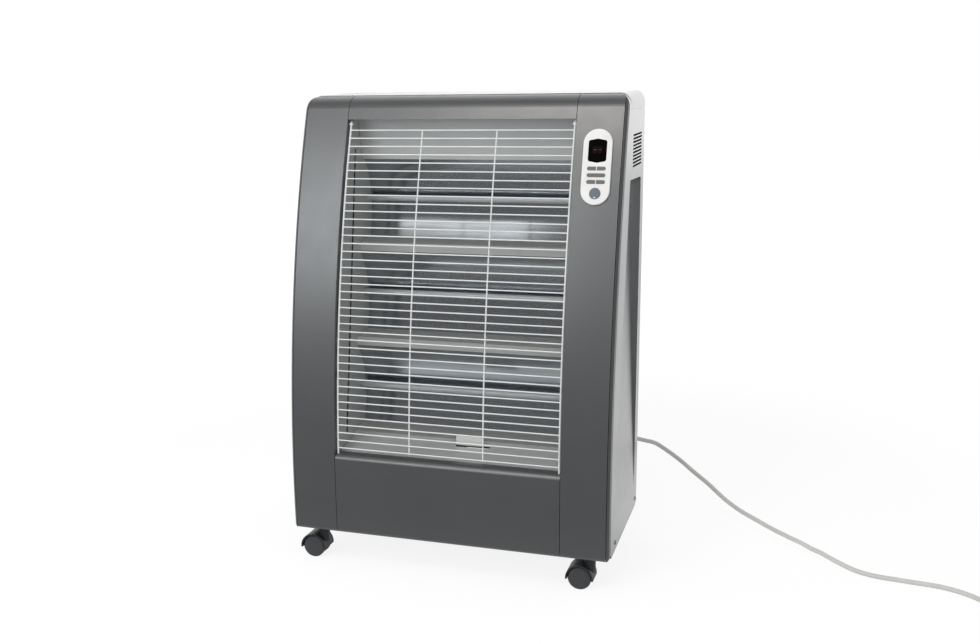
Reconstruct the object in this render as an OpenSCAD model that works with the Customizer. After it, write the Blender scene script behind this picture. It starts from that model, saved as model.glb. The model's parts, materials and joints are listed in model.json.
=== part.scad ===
// Free-standing halogen heater: a bowed cabinet on four twin-wheel castors, with three
// quartz lamps in trough reflectors behind a wire guard, and a control panel on its right.
// Inside the modules X runs across, Y is 0 at the back plane and negative to the front,
// and Z is 0 at the underside of the cabinet.

/* [Cabinet] */
// Width over the side panels
body_w = 512; // [480:1:580]
// Height of the cabinet without its castors and lid
body_h = 680; // [660:1:740]
// Greatest depth of the cabinet
body_d = 252; // [240:1:290]
// Radius of the bowed front
arc_r = 1816; // [1700:1:2400]
// Height at which the front stands out most
arc_z = 74; // [50:1:120]
// Depth of the rounded top edge
bull_d = 30; // [26:1:34]
// Height of the rounded top edge
bull_h = 19; // [15:1:22]
// Radius of the rounded lower edge
bottom_r = 8; // [5:1:12]
// Rise of the lid towards the back
lid_h = 7.4; // [5:0.1:12]
// Radius of the lid's rear edge
lid_r = 4; // [2:0.5:5]
// Height of the side panel's lower edge
side_low = 5; // [0:0.5:8]
// Thickness of the sheet steel
sheet = 1; // [0.8:0.1:1.5]
// Width of the sheet flanges
flange_w = 12; // [11:1:16]

/* [Front mouldings] */
// Width of the front opening between the pillars
open_w = 361; // [330:1:372]
// Height of the lower fascia
fascia_h = 130; // [115:1:140]
// Height of the upper fascia
crown_h = 36; // [32:1:44]
// Wall of the mouldings
wall = 2.5; // [2:0.1:3]
// Depth of the mouldings behind the front
lip_d = 20; // [19:0.5:24]
// Gap between two mouldings
seam = 0.8; // [0.5:0.1:1.2]
// Width of the mouldings' rounded upper outer corners
crown_rx = 17; // [10:1:20]
// Height of the mouldings' rounded upper outer corners
crown_rz = 20; // [14:1:22]
// Radius of the mouldings' lower outer corners
foot_r = 11; // [6:1:16]
// Width of the edge trim
trim_w = 5.4; // [4.5:0.1:7]
// Distance of the side panel's front edge behind the front
side_set = 7.6; // [6:0.2:10]
// Radius of the lower fascia's upper lip
lip_r = 9; // [6:0.5:12]
// Clearance between parts that only lie beside each other
rest_gap = 0.3; // [0.2:0.05:0.4]

/* [Side scoops] */
// Height of the scoop's upper edge
scoop_top = 554; // [520:1:560]
// Height at which the scoop runs out
scoop_low = 45; // [35:1:80]
// Depth of the scoop at its upper edge
scoop_d = 17; // [10:1:24]
// Distance of the scoop's rear edge from the back
scoop_rear = 28; // [24:1:40]
// Width of the flat between the scoop's upper end and the front edge
scoop_margin = 49; // [40:1:60]
// Width of that flat at the scoop's lower end
scoop_foot = 17; // [14:1:30]
// Corner radius of the scoop
scoop_r = 5; // [3:1:8]

/* [Side louvres] */
// Number of louvre slots on each side
louvre_n = 10; // [6:1:11]
// Spacing of the slots
louvre_pitch = 5.1; // [4.5:0.1:6]
// Height of a slot
louvre_h = 2.9; // [1.6:0.1:3.2]
// Height of the lowest slot
louvre_z = 573; // [572:1:590]
// Tilt of the slots, up to the back
louvre_tilt = 2; // [0:0.5:6]
// Distance of the slots' rear ends from the back
louvre_rear = 26; // [24:1:36]
// Length of a slot
louvre_l = 84; // [70:1:104]

/* [Wire guard] */
// Diameter of the cross wires
wire_d = 2; // [1.6:0.1:2.6]
// Diameter of the outer upright wires
frame_d = 3.2; // [2.8:0.1:3.6]
// Diameter of the ball at the head of an outer upright
eye_d = 6.4; // [5:0.2:8]
// Diameter of the inner upright wires
upright_d = 2.4; // [2:0.1:2.8]
// Spacing of the cross wires
wire_pitch = 12.2; // [10:0.1:13]
// Depth of the cross wires behind the front
guard_inset = 7.5; // [6:0.5:9]
// Number of bays between the uprights
guard_bays = 3; // [2:1:4]
// Distance from the opening's ends to the first and last cross wire
guard_margin = 9.5; // [8:0.5:14]

/* [Reflectors and lamps] */
// Number of reflectors and lamps
lamp_n = 3; // [3]
// Lean of the reflectors
lean = 8.5; // [6:0.5:10]
// Height of the lower edge of the reflectors above the lower fascia
pack_rise = 16; // [14:1:22]
// Height left above the reflectors for the deflector
pack_drop = 57; // [50:1:70]
// Distance of the reflectors' lower edge behind the cabinet's greatest depth
pack_in = 81; // [72:1:86]
// Depth of a trough
trough_d = 42; // [40:1:46]
// Rise of a trough's lower wall towards the back
ledge_rise = 12; // [8:1:16]
// Height of the plain part of a trough's back
plain_h = 20; // [14:1:26]
// Lean of that plain part against the ridges
plain_a = 3.5; // [2:0.5:5]
// Fold between the plain part and the curved part
fold_a = 3; // [2:0.5:5]
// Height of the flat between two troughs
ridge_h = 14; // [12:1:20]
// Thickness of the reflector sheet
mirror_t = 0.8; // [0.6:0.1:1]
// Depth of a lamp behind the flats
lamp_v = 25; // [22:1:27]
// Height of a lamp above its trough's lower edge
lamp_u = 73.5; // [68:0.5:78]
// Diameter of a quartz tube
lamp_d = 10; // [8:0.5:11]
// Wall of a quartz tube
quartz_t = 1; // [0.8:0.1:1.4]
// Length of a ceramic lamp end
ceramic_l = 18; // [14:1:22]
// Width across a ceramic lamp end
ceramic_w = 13; // [12:0.5:14]
// Width of the slot in the side liners
liner_slot = 7; // [5:0.5:9]
// Distance of the slot in front of the reflectors
liner_slot_y = 33; // [31:1:35]

/* [Control panel] */
// Width of the panel
panel_w = 42.4; // [40:0.2:46]
// Length of the panel
panel_l = 111; // [107:1:116]
// Height of the panel's middle
panel_z = 575.6; // [550:0.2:585]
// Distance by which the panel stands proud
panel_out = 3; // [2:0.1:4]
// Thickness of the panel
panel_t = 3.6; // [3.2:0.1:4.2]
// Width of the display window
window_w = 27; // [24:0.5:29]
// Height of the display window
window_h = 35.5; // [32:0.5:37]
// Thickness of the display window
window_t = 1.6; // [1.2:0.1:1.8]
// Width of a half button
half_w = 12.4; // [11:0.2:12.6]
// Height of a bar button
key_h = 5; // [4:0.1:6]
// Spacing of the button rows
key_pitch = 9.8; // [9:0.1:10]
// Diameter of the round button
round_d = 16; // [14:0.5:17]
// Travel of a button
key_travel = 0.8; // [0.5:0.1:1]
// Distance by which a button stands proud
key_out = 1; // [0.9:0.1:1.6]
// Gap round a button
key_gap = 0.25; // [0.2:0.05:0.35]
// Overhang of a button's flange
key_flange = 0.8; // [0.6:0.1:1]
// Length of the posts that carry the panel's board
post_l = 7.4; // [7:0.2:8]
// Thickness of a circuit board
board_t = 1.6; // [1.2:0.1:2]

/* [Castors] */
// Height of a castor
castor_h = 56; // [54:1:66]
// Diameter of a wheel
wheel_d = 36; // [33:1:38]
// Width of a wheel
wheel_w = 12.5; // [11:0.5:14]
// Distance of the wheels' axle from the swivel axis
castor_trail = 13.5; // [11:0.5:15]
// Diameter of the swivel stem
stem_d = 8; // [7:0.5:10]
// Length of the stem inside its socket
stem_l = 24; // [20:1:30]
// Diameter of the axle
axle_d = 5; // [4:0.5:6]
// Thickness of the web between the wheels
web_t = 5; // [4:0.5:7]
// Thickness of the hood
hood_t = 2.5; // [2:0.1:3]
// Running clearance on the radius of stems and axles
run_gap = 0.05; // [0.03:0.01:0.08]
// Distance of the castors from the cabinet's sides
castor_side = 36; // [31:1:56]
// Distance of the front castors from the cabinet's greatest depth
castor_in = 36; // [36:1:46]
// Distance of the rear castors from the back
castor_rear = 42; // [40:1:60]

/* [Cord] */
// Diameter of the cord
cord_d = 7.5; // [6:0.1:9]
// Distance of the cord's exit from the middle
exit_x = 190; // [150:1:200]
// Height of the cord's exit
exit_z = 97; // [80:1:110]
// Length of the strain relief outside the back
boot_l = 38; // [24:1:50]
// Diameter of the plug's body
plug_d = 37; // [34:1:40]
// Length of the plug's body
plug_l = 34; // [30:1:40]
// Diameter of a plug pin
pin_d = 4.8; // [4.8]
// Length of a plug pin
pin_l = 19; // [19]
// Spacing of the plug pins
pin_pitch = 19; // [19]

/* [Hidden] */
fn = 48;
fn_small = 24;
fn_arc = 1440;

// The bowed front, seen from the side: y and z in the cabinet frame
arc_yc = arc_r - body_d;
function front_y(z, inset = 0) = arc_yc - sqrt(pow(arc_r - inset, 2) - pow(z - arc_z, 2));
function front_angle(z) = asin((z - arc_z) / arc_r);

// The rounded top edge: an arc that meets the front at a slight crease
bull_r = (bull_d * bull_d + bull_h * bull_h) / (2 * bull_h);
crease_z = body_h - bull_h;
bull_y = front_y(crease_z) + bull_d;
bull_z = body_h - bull_r;
crease_a = asin((crease_z - bull_z) / bull_r);

open_top = body_h - crown_h;
open_x = open_w / 2;
pillar_in = open_x + seam / 2;
pillar_out = body_w / 2 - trim_w - seam;
trim_in = body_w / 2 - trim_w;
trim_deep = 16;
fascia_x = open_x - seam / 2;
inner_x = body_w / 2 - sheet;
back_cut = front_y(0) + lip_d;
lid_front = front_y(body_h) + lip_d + rest_gap;
lid_low = body_h - crown_rz - 2;
panel_top = lid_low - rest_gap;

// Reflectors, in a frame that leans: u up along the flats, v to the back
pack_z = fascia_h + pack_rise;
pack_y = body_d - pack_in;
pack_top = open_top - pack_drop;
pack_len = (pack_top - pack_z) / cos(lean);
trough_c = (pack_len - (lamp_n - 1) * ridge_h) / lamp_n;
function trough_u(i) = i * (trough_c + ridge_h);
function pack_pos(u, v) = [-pack_y + u * sin(lean) + v * cos(lean), pack_z + u * cos(lean) - v * sin(lean)];
function lamp_pos(i) = pack_pos(trough_u(i) + lamp_u, lamp_v);
liner_x = open_x + seam / 2 + 0.1;
side_x = liner_x + sheet;
ceramic_x = side_x + 3;
lamp_end = ceramic_x + ceramic_l;
end_flat = 6;

// Control panel, in a frame on the right pillar: x across, y up, z out of the front
panel_x = (pillar_in + pillar_out) / 2;
panel_a = front_angle(panel_z);
panel_back = panel_out - panel_t;
window_y = 23.2;
row_y = -2.8;
round_y = -39.2;
half_x = half_w / 2 + 0.9;
key_inner = panel_back - 0.1;
key_root = key_inner - 1.5;
board_z = panel_back - post_l;
post_x = 13;
post_y = panel_l / 2 - 10;
ledge_w = 1.2;
window_z = panel_out - 0.2 - window_t;

// Castors: the swivel axes, front left, front right, rear left, rear right
hood_r = wheel_d / 2 + 1 + hood_t;
hood_w = web_t + 2 * (wheel_w + 1);
axle_l = web_t + 2 * (wheel_w - 3);
hood_top = castor_h - rest_gap;
stem_low = castor_h - 16;
socket_r = stem_d / 2 + 3;
castor_x = body_w / 2 - castor_side;
castor_front = body_d - castor_in;

// Power board and other fittings on the right liner
mid_y = -body_d / 2;
board_y = [mid_y - 24, mid_y + 64];
board_h = [236, 350];
board_x = liner_x + sheet + 8;
block_y = mid_y + 42;
block_x = (side_x + inner_x) / 2 - 2.5;

// The cord, in millimetres from the middle of the floor: out of the boot, round to the
// side, down to the floor and away to the right
cord_pts = [
    [190, 164, 153], [190.1, 172.7, 153.1], [191.1, 183.3, 152.2], [197.2, 202, 149.3],
    [206.2, 219.6, 145.4], [219.3, 234.3, 140.6], [233.3, 245.9, 134.7], [250.3, 255.6, 128.8],
    [268.4, 263.2, 122.9], [285.4, 264.8, 113], [302.4, 264.5, 102.2], [319.4, 261.1, 91.3],
    [335.4, 255.8, 80.5], [352.4, 248.5, 70.6], [368.4, 240.1, 61.8], [383.3, 229.8, 52.9],
    [398.3, 218.5, 45.1], [413.3, 207.2, 39.2], [429.3, 194.9, 34.4], [446.2, 183.6, 30.5],
    [462.2, 171.3, 27.6], [478.1, 159, 24.8], [494, 146.7, 22.9], [510, 134.5, 21.1],
    [526.9, 123.2, 19.2], [542.8, 110.9, 16.4], [559.7, 99.7, 14.5], [576.6, 88.4, 10.7],
    [592.5, 78.1, 7.8], [610.4, 68.9, 5], [629.3, 61.9, 4], [649.2, 56.9, 4], [669.1, 54.9, 4],
    [688.9, 52, 4], [708.8, 50, 4], [728.7, 47, 4], [747.6, 40, 4], [765.5, 30.1, 4],
    [780.4, 17.2, 4], [792.4, 7.2, 4]
];
// The coil: loops that spiral in on the floor, climb, and spiral out again on top
coil_c = [851, 23];
coil_start = 232;
coil_r = 49;
coil_turns = 4;
coil_steps = 24;
coil_pitch = 8.2;
coil_z = 4;
coil_tail = 44;
coil_in = coil_c + coil_r * [cos(coil_start), sin(coil_start)];
coil_dir = [-sin(coil_start), cos(coil_start)];
plug_z = plug_d / 2 + 0.2;
coil_from = [coil_in[0] - coil_dir[0] * 7.5, coil_in[1] - coil_dir[1] * 7.5, coil_z];
coil_to = [coil_in[0] + coil_dir[0] * coil_tail, coil_in[1] + coil_dir[1] * coil_tail, plug_z];

// ---------- frames and helpers ----------

module at_cabinet() translate([0, body_d / 2, castor_h]) children();

module along_x(x0, x1) translate([x0, 0, 0]) rotate([90, 0, 90]) linear_extrude(x1 - x0) children();

module pack_frame() translate([-pack_y, pack_z]) rotate(-lean) children();

module at_panel() translate([panel_x, front_y(panel_z), panel_z]) rotate([90 - panel_a, 0, 0]) children();

// Sweeps a section of [radius, -x] round the centre of the bowed front
module front_sweep(z0, z1)
    translate([0, arc_yc, arc_z]) rotate([90, 0, -90]) rotate([0, 0, front_angle(z0)])
    rotate_extrude(angle = front_angle(z1) - front_angle(z0), $fn = fn_arc) children();

function unit(v) = v / norm(v);
function tangent(p, i) =
    i == 0 ? unit(p[1] - p[0]) :
    i == len(p) - 1 ? unit(p[i] - p[i - 1]) :
    unit(unit(p[i] - p[i - 1]) + unit(p[i + 1] - p[i]));
function ring(p, i, r, n, up) =
    let (t = tangent(p, i), s = unit(cross(t, up)), u = cross(s, t))
    [for (k = [0 : n - 1]) p[i] + r * (cos(360 * k / n) * s + sin(360 * k / n) * u)];

// A round tube along the points p
module tube(p, r, n, up = [0, 0, 1]) {
    last = (len(p) - 1) * n;
    points = [for (i = [0 : len(p) - 1]) each ring(p, i, r, n, up)];
    sides = [
        for (i = [0 : len(p) - 2], k = [0 : n - 1])
            let (a = i * n + k, b = i * n + (k + 1) % n)
            each [[a, b, b + n], [a, b + n, a + n]]
    ];
    caps = [for (k = [1 : n - 2]) each [[0, k + 1, k], [last, last + k, last + k + 1]]];
    polyhedron(points = points, faces = concat(sides, caps));
}

// ---------- the side view of the front ----------

function arc_pts(c, r, a0, a1, n) = [for (i = [0 : n]) let (a = a0 + (a1 - a0) * i / n)
    c + r * [cos(a), sin(a)]];

module front_circle(inset = 0, shift = 0) translate([arc_yc + shift, arc_z])
    circle(arc_r - inset, $fn = fn_arc);

function outline(inset) =
    let (
        ahead = -body_d - 20,
        low = arc_pts([front_y(bottom_r) + bottom_r, bottom_r], bottom_r - inset, 270, 190, 6),
        bull = arc_pts([bull_y, bull_z], bull_r - inset, 180 - crease_a, 90, 12)
    )
    concat([[0, inset]], low, [[ahead, low[6][1]], [ahead, bull[0][1]]], bull, [[0, body_h - inset]]);

module profile(inset = 0) intersection() {
    front_circle(inset);
    polygon(outline(inset));
}

// The part of the profile that lies no deeper than depth behind the front
module slice(inset, depth) difference() {
    profile(inset);
    front_circle(0, depth);
}

module band(z0, z1) polygon([[-body_d - 20, z0], [0, z0], [0, z1], [-body_d - 20, z1]]);

// ---------- cabinet sheet metal ----------

// The side panel's outline, up to the lid's edge; grow widens it
module panel_outline(grow = 0) {
    low = arc_pts([front_y(bottom_r) + side_set + bottom_r, side_low + bottom_r], bottom_r + grow,
        270, 190, 6);
    intersection() {
        front_circle(0, side_set - grow);
        polygon(concat([[0, side_low - grow]], low, [
            [-body_d - 20, low[6][1]], [-body_d - 20, panel_top + grow], [0, panel_top + grow]
        ]));
    }
}

scoop_ends = [front_y(scoop_low) + side_set + scoop_foot, front_y(scoop_top) + side_set + scoop_margin];
function scoop_front(z) = scoop_ends[0]
    + (z - scoop_low) * (scoop_ends[1] - scoop_ends[0]) / (scoop_top - scoop_low);

module rounded(points, r) {
    offset_n = 6;
    n = len(points);
    polygon([
        for (i = [0 : n - 1])
            let (
                a = unit(points[(i + n - 1) % n] - points[i]), b = unit(points[(i + 1) % n] - points[i]),
                half = acos(a * b) / 2, mid = unit(a + b), c = points[i] + mid * r / sin(half),
                start = atan2(a[1], a[0]) + 90, sweep = 180 - 2 * half
            )
            for (k = [0 : offset_n]) let (t = start + sweep * k / offset_n) c + r * [cos(t), sin(t)]
    ]);
}

// The outline of the scoop in the side view, past its lower end; grow widens it by a wall
module scoop_outline(grow = 0) rounded([
    [-scoop_rear + grow, scoop_top + grow],
    [scoop_front(scoop_top) - grow, scoop_top + grow],
    [scoop_front(scoop_low - 12) - grow, scoop_low - 12],
    [-scoop_rear + grow, scoop_low - 12]
], scoop_r + grow);

// The space over the scoop's slanting floor, from the floor out to x1; back sets the floor in
module scoop_wedge(back, x1) {
    slope = scoop_d / (scoop_top - scoop_low);
    high = scoop_top + 20;
    intersection() {
        along_x(body_w / 2 - scoop_d - 5, x1) scoop_outline(back);
        translate([0, 1, 0]) rotate([90, 0, 0]) linear_extrude(body_d + 2) polygon([
            [x1 + 1, high], [body_w / 2 - back - (high - scoop_low) * slope, high],
            [body_w / 2 - back + scoop_low * slope + 1 * slope, -1], [x1 + 1, -1]
        ]);
    }
}

module screw_hole(d = 3.6) cylinder(h = 40, d = d, center = true, $fn = fn_small);

side_screws = [[-204, 15], [-12, 15]];
back_screws = [[body_w / 2 - 7, 60], [body_w / 2 - 7, body_h - 60], [120, 14], [150, lid_low - 8]];

module side_panel() difference() {
    union() {
        along_x(inner_x, body_w / 2) panel_outline();
        scoop_wedge(sheet, body_w / 2 - sheet / 2);
        translate([body_w / 2 - flange_w, -2 * sheet, side_low])
            cube([flange_w - sheet / 2, sheet, panel_top - side_low]);
    }
    scoop_wedge(0, body_w / 2 + 1);
    for (i = [0 : louvre_n - 1]) translate([body_w / 2, -louvre_rear - louvre_l,
        louvre_z + i * louvre_pitch])
        rotate([louvre_tilt, 0, 0]) rotate([0, 90, 0]) linear_extrude(10, center = true) {
            translate([-louvre_h / 2, louvre_h / 2]) square([louvre_h, louvre_l - louvre_h]);
            for (y = [louvre_h / 2, louvre_l - louvre_h / 2]) translate([0, y])
                circle(d = louvre_h, $fn = fn_small);
        }
    for (s = side_screws) translate([body_w / 2, s[0], s[1]]) rotate([0, 90, 0]) screw_hole();
    for (s = back_screws) translate([s[0], 0, s[1]]) rotate([90, 0, 0]) screw_hole();
}

module side_panel_right() color([0.42, 0.43, 0.43]) at_cabinet() side_panel();

module side_panel_left() color([0.42, 0.43, 0.43]) at_cabinet() mirror([1, 0, 0]) side_panel();

// The lid: a cap that rises to the back, rounded at both sides, with lips inside the panels
lid_step = 0.8;
lid_slope = atan((lid_h - lid_step) / (-lid_r - lid_front));

module lid_side(inset) {
    rear = [-lid_r, body_h + lid_h - lid_r];
    low = lid_low - (inset > 0 ? 1 : 0);
    last = rear + (lid_r - inset) * [cos(75), sin(75)] + 2 * [-sin(75), cos(75)];
    polygon(concat(
        [[lid_front + inset, low], [-inset, low]],
        arc_pts(rear, lid_r - inset, 0, 75, 5),
        [last, [last[0], body_h + 30], [lid_front + inset, body_h + 30]]
    ));
}

// The lid's section across, extruded along its slope
module lid_section(inset) translate([0, lid_front, body_h + lid_step]) rotate([lid_slope, 0, 0])
    translate([0, body_d, 0]) rotate([90, 0, 0]) linear_extrude(body_d + 30) {
        half = body_w / 2;
        right = [for (i = [0 : 8]) let (a = 90 * i / 8)
            [half - crown_rx + (crown_rx - inset) * cos(a), (crown_rz - inset) * sin(a) - crown_rz]];
        left = [for (i = [0 : 8]) [-right[8 - i][0], right[8 - i][1]]];
        polygon(concat([[-half + inset, -60], [half - inset, -60]], right, left));
    }

module lid() color([0.42, 0.43, 0.43]) at_cabinet() difference() {
    union() {
        difference() {
            intersection() {
                lid_section(0);
                along_x(-body_w / 2 - 10, body_w / 2 + 10) lid_side(0);
            }
            intersection() {
                lid_section(sheet);
                along_x(-body_w / 2 - 10, body_w / 2 + 10) lid_side(sheet);
            }
        }
        for (s = [-1, 1]) mirror([s < 0 ? 1 : 0, 0, 0]) {
            translate([inner_x - rest_gap - sheet, lid_front + 4, lid_low - 14])
                cube([sheet, -lid_front - 4 - 4 * sheet, 14.6]);
            translate([inner_x - rest_gap - sheet, lid_front + 4, lid_low + 0.1])
                cube([2 * sheet, -lid_front - 4 - 4 * sheet, 0.9]);
        }
        translate([-body_w / 2 + flange_w + 2, -rest_gap - 2 * sheet, lid_low - 14])
            cube([body_w - 2 * flange_w - 4, sheet, 14.6]);
        translate([-body_w / 2 + flange_w + 2, -rest_gap - 2 * sheet, lid_low + 0.1])
            cube([body_w - 2 * flange_w - 4, 2 * sheet, 0.9]);
    }
    translate([-pillar_out, lid_front - 1, lid_low - 2])
        cube([2 * pillar_out, sheet + 2, body_h - 14 - lid_low + 2]);
    for (s = [-1, 1], p = back_screws) translate([s * p[0], 0, p[1]]) rotate([90, 0, 0]) screw_hole();
}

vent_l = 90;
vent_cols = [-120, 0, 120];
vent_rows = concat([for (i = [0 : 11]) body_h - 70 - i * 14], [for (i = [0 : 3]) 60 + i * 14]);

module back_panel() color([0.42, 0.43, 0.43]) at_cabinet() difference() {
    translate([-inner_x + rest_gap, -sheet, 0]) cube([2 * (inner_x - rest_gap), sheet, panel_top]);
    for (x = vent_cols, z = vent_rows) translate([x, 0, z]) rotate([90, 0, 0])
        linear_extrude(10, center = true) {
        square([vent_l - 3, 3], center = true);
        for (s = [-1, 1]) translate([s * (vent_l - 3) / 2, 0]) circle(d = 3, $fn = fn_small);
    }
    translate([exit_x, 0, exit_z]) rotate([90, 0, 0]) cylinder(h = 20, d = boot_neck + 0.6,
        center = true, $fn = fn);
    for (s = [-1, 1], p = back_screws) translate([s * p[0], 0, p[1]]) rotate([90, 0, 0]) screw_hole();
}

module base_plate() color([0.45, 0.46, 0.47]) at_cabinet() difference() {
    union() {
        translate([-inner_x + rest_gap, back_cut + rest_gap, 0])
            cube([2 * (inner_x - rest_gap), -back_cut - rest_gap - 2 * sheet - rest_gap, 1.5 * sheet]);
        for (s = [-1, 1]) translate([s > 0 ? inner_x - rest_gap - sheet : -inner_x + rest_gap,
            back_cut + 4, 0])
            cube([sheet, -back_cut - 4 - 2 * sheet - rest_gap, 2 * flange_w]);
        translate([-inner_x + flange_w + 2, -2 * sheet - rest_gap, 0])
            cube([2 * (inner_x - flange_w - 2), sheet, 2 * flange_w]);
        for (x = [-castor_x, castor_x], y = [-castor_front, -castor_rear]) translate([x, y, 0])
            cylinder(h = stem_l + 2, r = socket_r, $fn = fn);
    }
    for (x = [-castor_x, castor_x], y = [-castor_front, -castor_rear]) translate([x, y, -1])
        cylinder(h = stem_l + 1, r = stem_d / 2 + run_gap, $fn = fn);
    for (s = [-1, 1], p = side_screws) translate([s * body_w / 2, p[0], p[1]]) rotate([0, 90, 0])
        screw_hole();
    for (s = [-1, 1], p = back_screws) translate([s * p[0], 0, p[1]]) rotate([90, 0, 0]) screw_hole();
}

// ---------- front mouldings ----------

// The mouldings' outline from the front: half the width, with rounded outer corners
module front_outline(inset = 0) translate([0, 1, 0]) rotate([90, 0, 0]) linear_extrude(body_d + 40) {
    half = body_w / 2;
    polygon(concat(
        [[0, -1 + inset], [half - foot_r, -1 + inset]],
        [for (i = [0 : 6]) let (a = -90 + 15 * i) [half - foot_r + (foot_r - inset) * cos(a),
            foot_r + (foot_r - inset) * sin(a)]],
        [for (i = [0 : 8]) let (a = 90 * i / 8)
            [half - crown_rx + (crown_rx - inset) * cos(a),
                body_h - crown_rz + (crown_rz - inset) * sin(a)]],
        [[0, body_h + 1 - inset]]
    ));
}

module pillar() difference() {
    intersection() {
        along_x(pillar_in, pillar_out) slice(0, lip_d);
        front_outline();
    }
    intersection() {
        along_x(pillar_in + wall, pillar_out - wall) slice(wall, lip_d + 1);
        front_outline(wall);
    }
}

module left_pillar() color([0.47, 0.48, 0.48]) at_cabinet() mirror([1, 0, 0]) pillar();

module right_pillar() color([0.47, 0.48, 0.48]) at_cabinet() difference() {
    pillar();
    at_panel() translate([0, 0, -4]) linear_extrude(12)
        stadium(panel_w + 2 * rest_gap, panel_l + 2 * rest_gap);
}

// The trim's section as [radius, -x] for a sweep of the given outer radius
module trim_section(r) polygon([
    [r - 0.6, -trim_in], [r - 1, -trim_in - trim_w * 0.25], [r - 2.8, -trim_in - trim_w * 0.72],
    [r - side_set, -body_w / 2], [r - trim_deep, -body_w / 2], [r - trim_deep, -trim_in]
]);

module edge_trim() difference() {
    intersection() {
        front_outline();
        union() {
            trim_sweep();
            along_x(trim_in + 0.1, body_w / 2 + 4) trim_corner();
        }
    }
    along_x(inner_x - rest_gap, body_w) panel_outline(rest_gap);
}

// The side view of the trim's upper corner, which closes the step to the lid
module trim_corner() intersection() {
    profile(side_set + 0.1);
    polygon([[-body_d, lid_low - 1], [lid_front - rest_gap, lid_low - 1], [lid_front - rest_gap, body_h],
        [-body_d, body_h]]);
}

module trim_sweep() {
        intersection() {
            front_sweep(2, crease_z + 12) trim_section(arc_r);
            translate([0, -body_d - 20, 0]) cube([body_w, body_d, crease_z]);
        }
        intersection() {
            translate([0, bull_y, bull_z]) rotate([90, 0, -90]) rotate([0, 0, crease_a - 20])
                rotate_extrude(angle = 110 - crease_a, $fn = 4 * fn) trim_section(bull_r);
            translate([0, -body_d - 20, crease_z])
                cube([body_w, body_d + 20 + lid_front - rest_gap, bull_h]);
        }
}

module edge_trims() color([0.36, 0.37, 0.36]) at_cabinet() for (s = [0, 1]) mirror([s, 0, 0]) edge_trim();

module top_fascia() color([0.52, 0.51, 0.50]) at_cabinet() difference() {
    along_x(-fascia_x, fascia_x) intersection() {
        slice(0, lip_d);
        band(open_top, body_h);
    }
    along_x(-fascia_x + wall, fascia_x - wall) intersection() {
        slice(wall, lip_d + 1);
        band(open_top + wall, body_h);
    }
}

// The lower fascia's side view, with its rounded upper lip
module lower_outline(inset) intersection() {
    slice(inset, lip_d + inset / wall);
    polygon(concat(
        [[-body_d - 20, 0], [0, 0], [0, fascia_h - inset]],
        arc_pts([front_y(fascia_h) + lip_r, fascia_h - lip_r], lip_r - inset, 90, 170, 8),
        [[-body_d - 20, fascia_h - lip_r]]
    ));
}

module bottom_fascia() color([0.32, 0.33, 0.33]) at_cabinet() difference() {
    along_x(-fascia_x, fascia_x) lower_outline(0);
    along_x(-fascia_x + wall, fascia_x - wall) lower_outline(wall);
}

// ---------- wire guard ----------

weld = 0.4;
guard_x = pillar_in - eye_d / 2 - rest_gap;
guard_low = fascia_h + guard_margin;
guard_high = open_top - guard_margin - 7;
cross_n = floor((guard_high - guard_low) / wire_pitch);
guard_bottom = fascia_h + rest_gap;
guard_top = open_top - rest_gap;
upright_in = (wire_d + upright_d) / 2 - weld;

module upright(x, d, behind, z0, z1) front_sweep(z0, z1)
    translate([arc_r - guard_inset - behind, -x]) circle(d = d, $fn = fn_small);

module wire_guard() color([0.93, 0.94, 0.93]) at_cabinet() {
    for (i = [0 : cross_n]) let (z = guard_high - i * wire_pitch)
        translate([-guard_x, front_y(z, guard_inset), z]) rotate([0, 90, 0])
            cylinder(h = 2 * guard_x, d = wire_d, $fn = 16);
    for (s = [-1, 1]) {
        upright(s * guard_x, frame_d, weld, guard_bottom, guard_top);
        translate([s * guard_x, front_y(guard_top - eye_d - 0.8, guard_inset + weld),
            guard_top - eye_d - 0.8]) sphere(d = eye_d, $fn = fn_small);
    }
    for (i = [1 : guard_bays - 1])
        upright(-guard_x + 2 * guard_x * i / guard_bays, upright_d, upright_in,
            guard_high - cross_n * wire_pitch - wire_d, guard_high + wire_d);
}

// ---------- reflectors and lamps ----------

// The points of path p moved sideways by t, square to it
function aside(p, t) = let (
        n = len(p), d = [for (k = [0 : n - 2]) unit(p[k + 1] - p[k])],
        square = [for (k = [0 : n - 2]) [d[k][1], -d[k][0]]]
    ) [for (k = [0 : n - 1]) let (a = square[max(k - 1, 0)], b = square[min(k, n - 2)])
        p[k] + t * (a + b) / (1 + a * b)];

// A trough in the leaning frame of [v, u]: the flat below it, its lower wall, the plain part of
// its back and the curved part that comes forward to its upper edge
module trough(i) {
    u = trough_u(i);
    top = u + trough_c;
    below = i == 0 ? end_flat : ridge_h - rest_gap;
    low = [trough_d, u + ledge_rise];
    along = [sin(plain_a), cos(plain_a)];
    high = low + plain_h * along;
    path = [[0, u - below], [0, u], low, high - 0.3 * along];
    inward = [-cos(plain_a + fold_a), sin(plain_a + fold_a)];
    chord = high - [0, top];
    r = -(chord * chord) / (2 * chord * inward);
    back = aside(path, mirror_t);
    polygon(concat(back, [for (k = [len(path) - 1 : -1 : 0]) path[k]]));
    intersection() {
        difference() {
            translate(high + r * inward) circle(r + mirror_t, $fn = 8 * fn);
            translate(high + r * inward) circle(r, $fn = 8 * fn);
        }
        start = high - 0.9 * along;
        polygon([start + 3 * inward, start - 2 * trough_d * inward, [3 * trough_d, top], [-1, top]]);
    }
    if (i == lamp_n - 1) translate([0, top - mirror_t * 0.9]) square([mirror_t, end_flat]);
}

module reflector(i) color([0.62, 0.63, 0.65]) at_cabinet()
    along_x(-liner_x + rest_gap, liner_x - rest_gap) pack_frame() trough(i);

module reflector_lower() reflector(0);

module reflector_middle() reflector(1);

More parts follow.
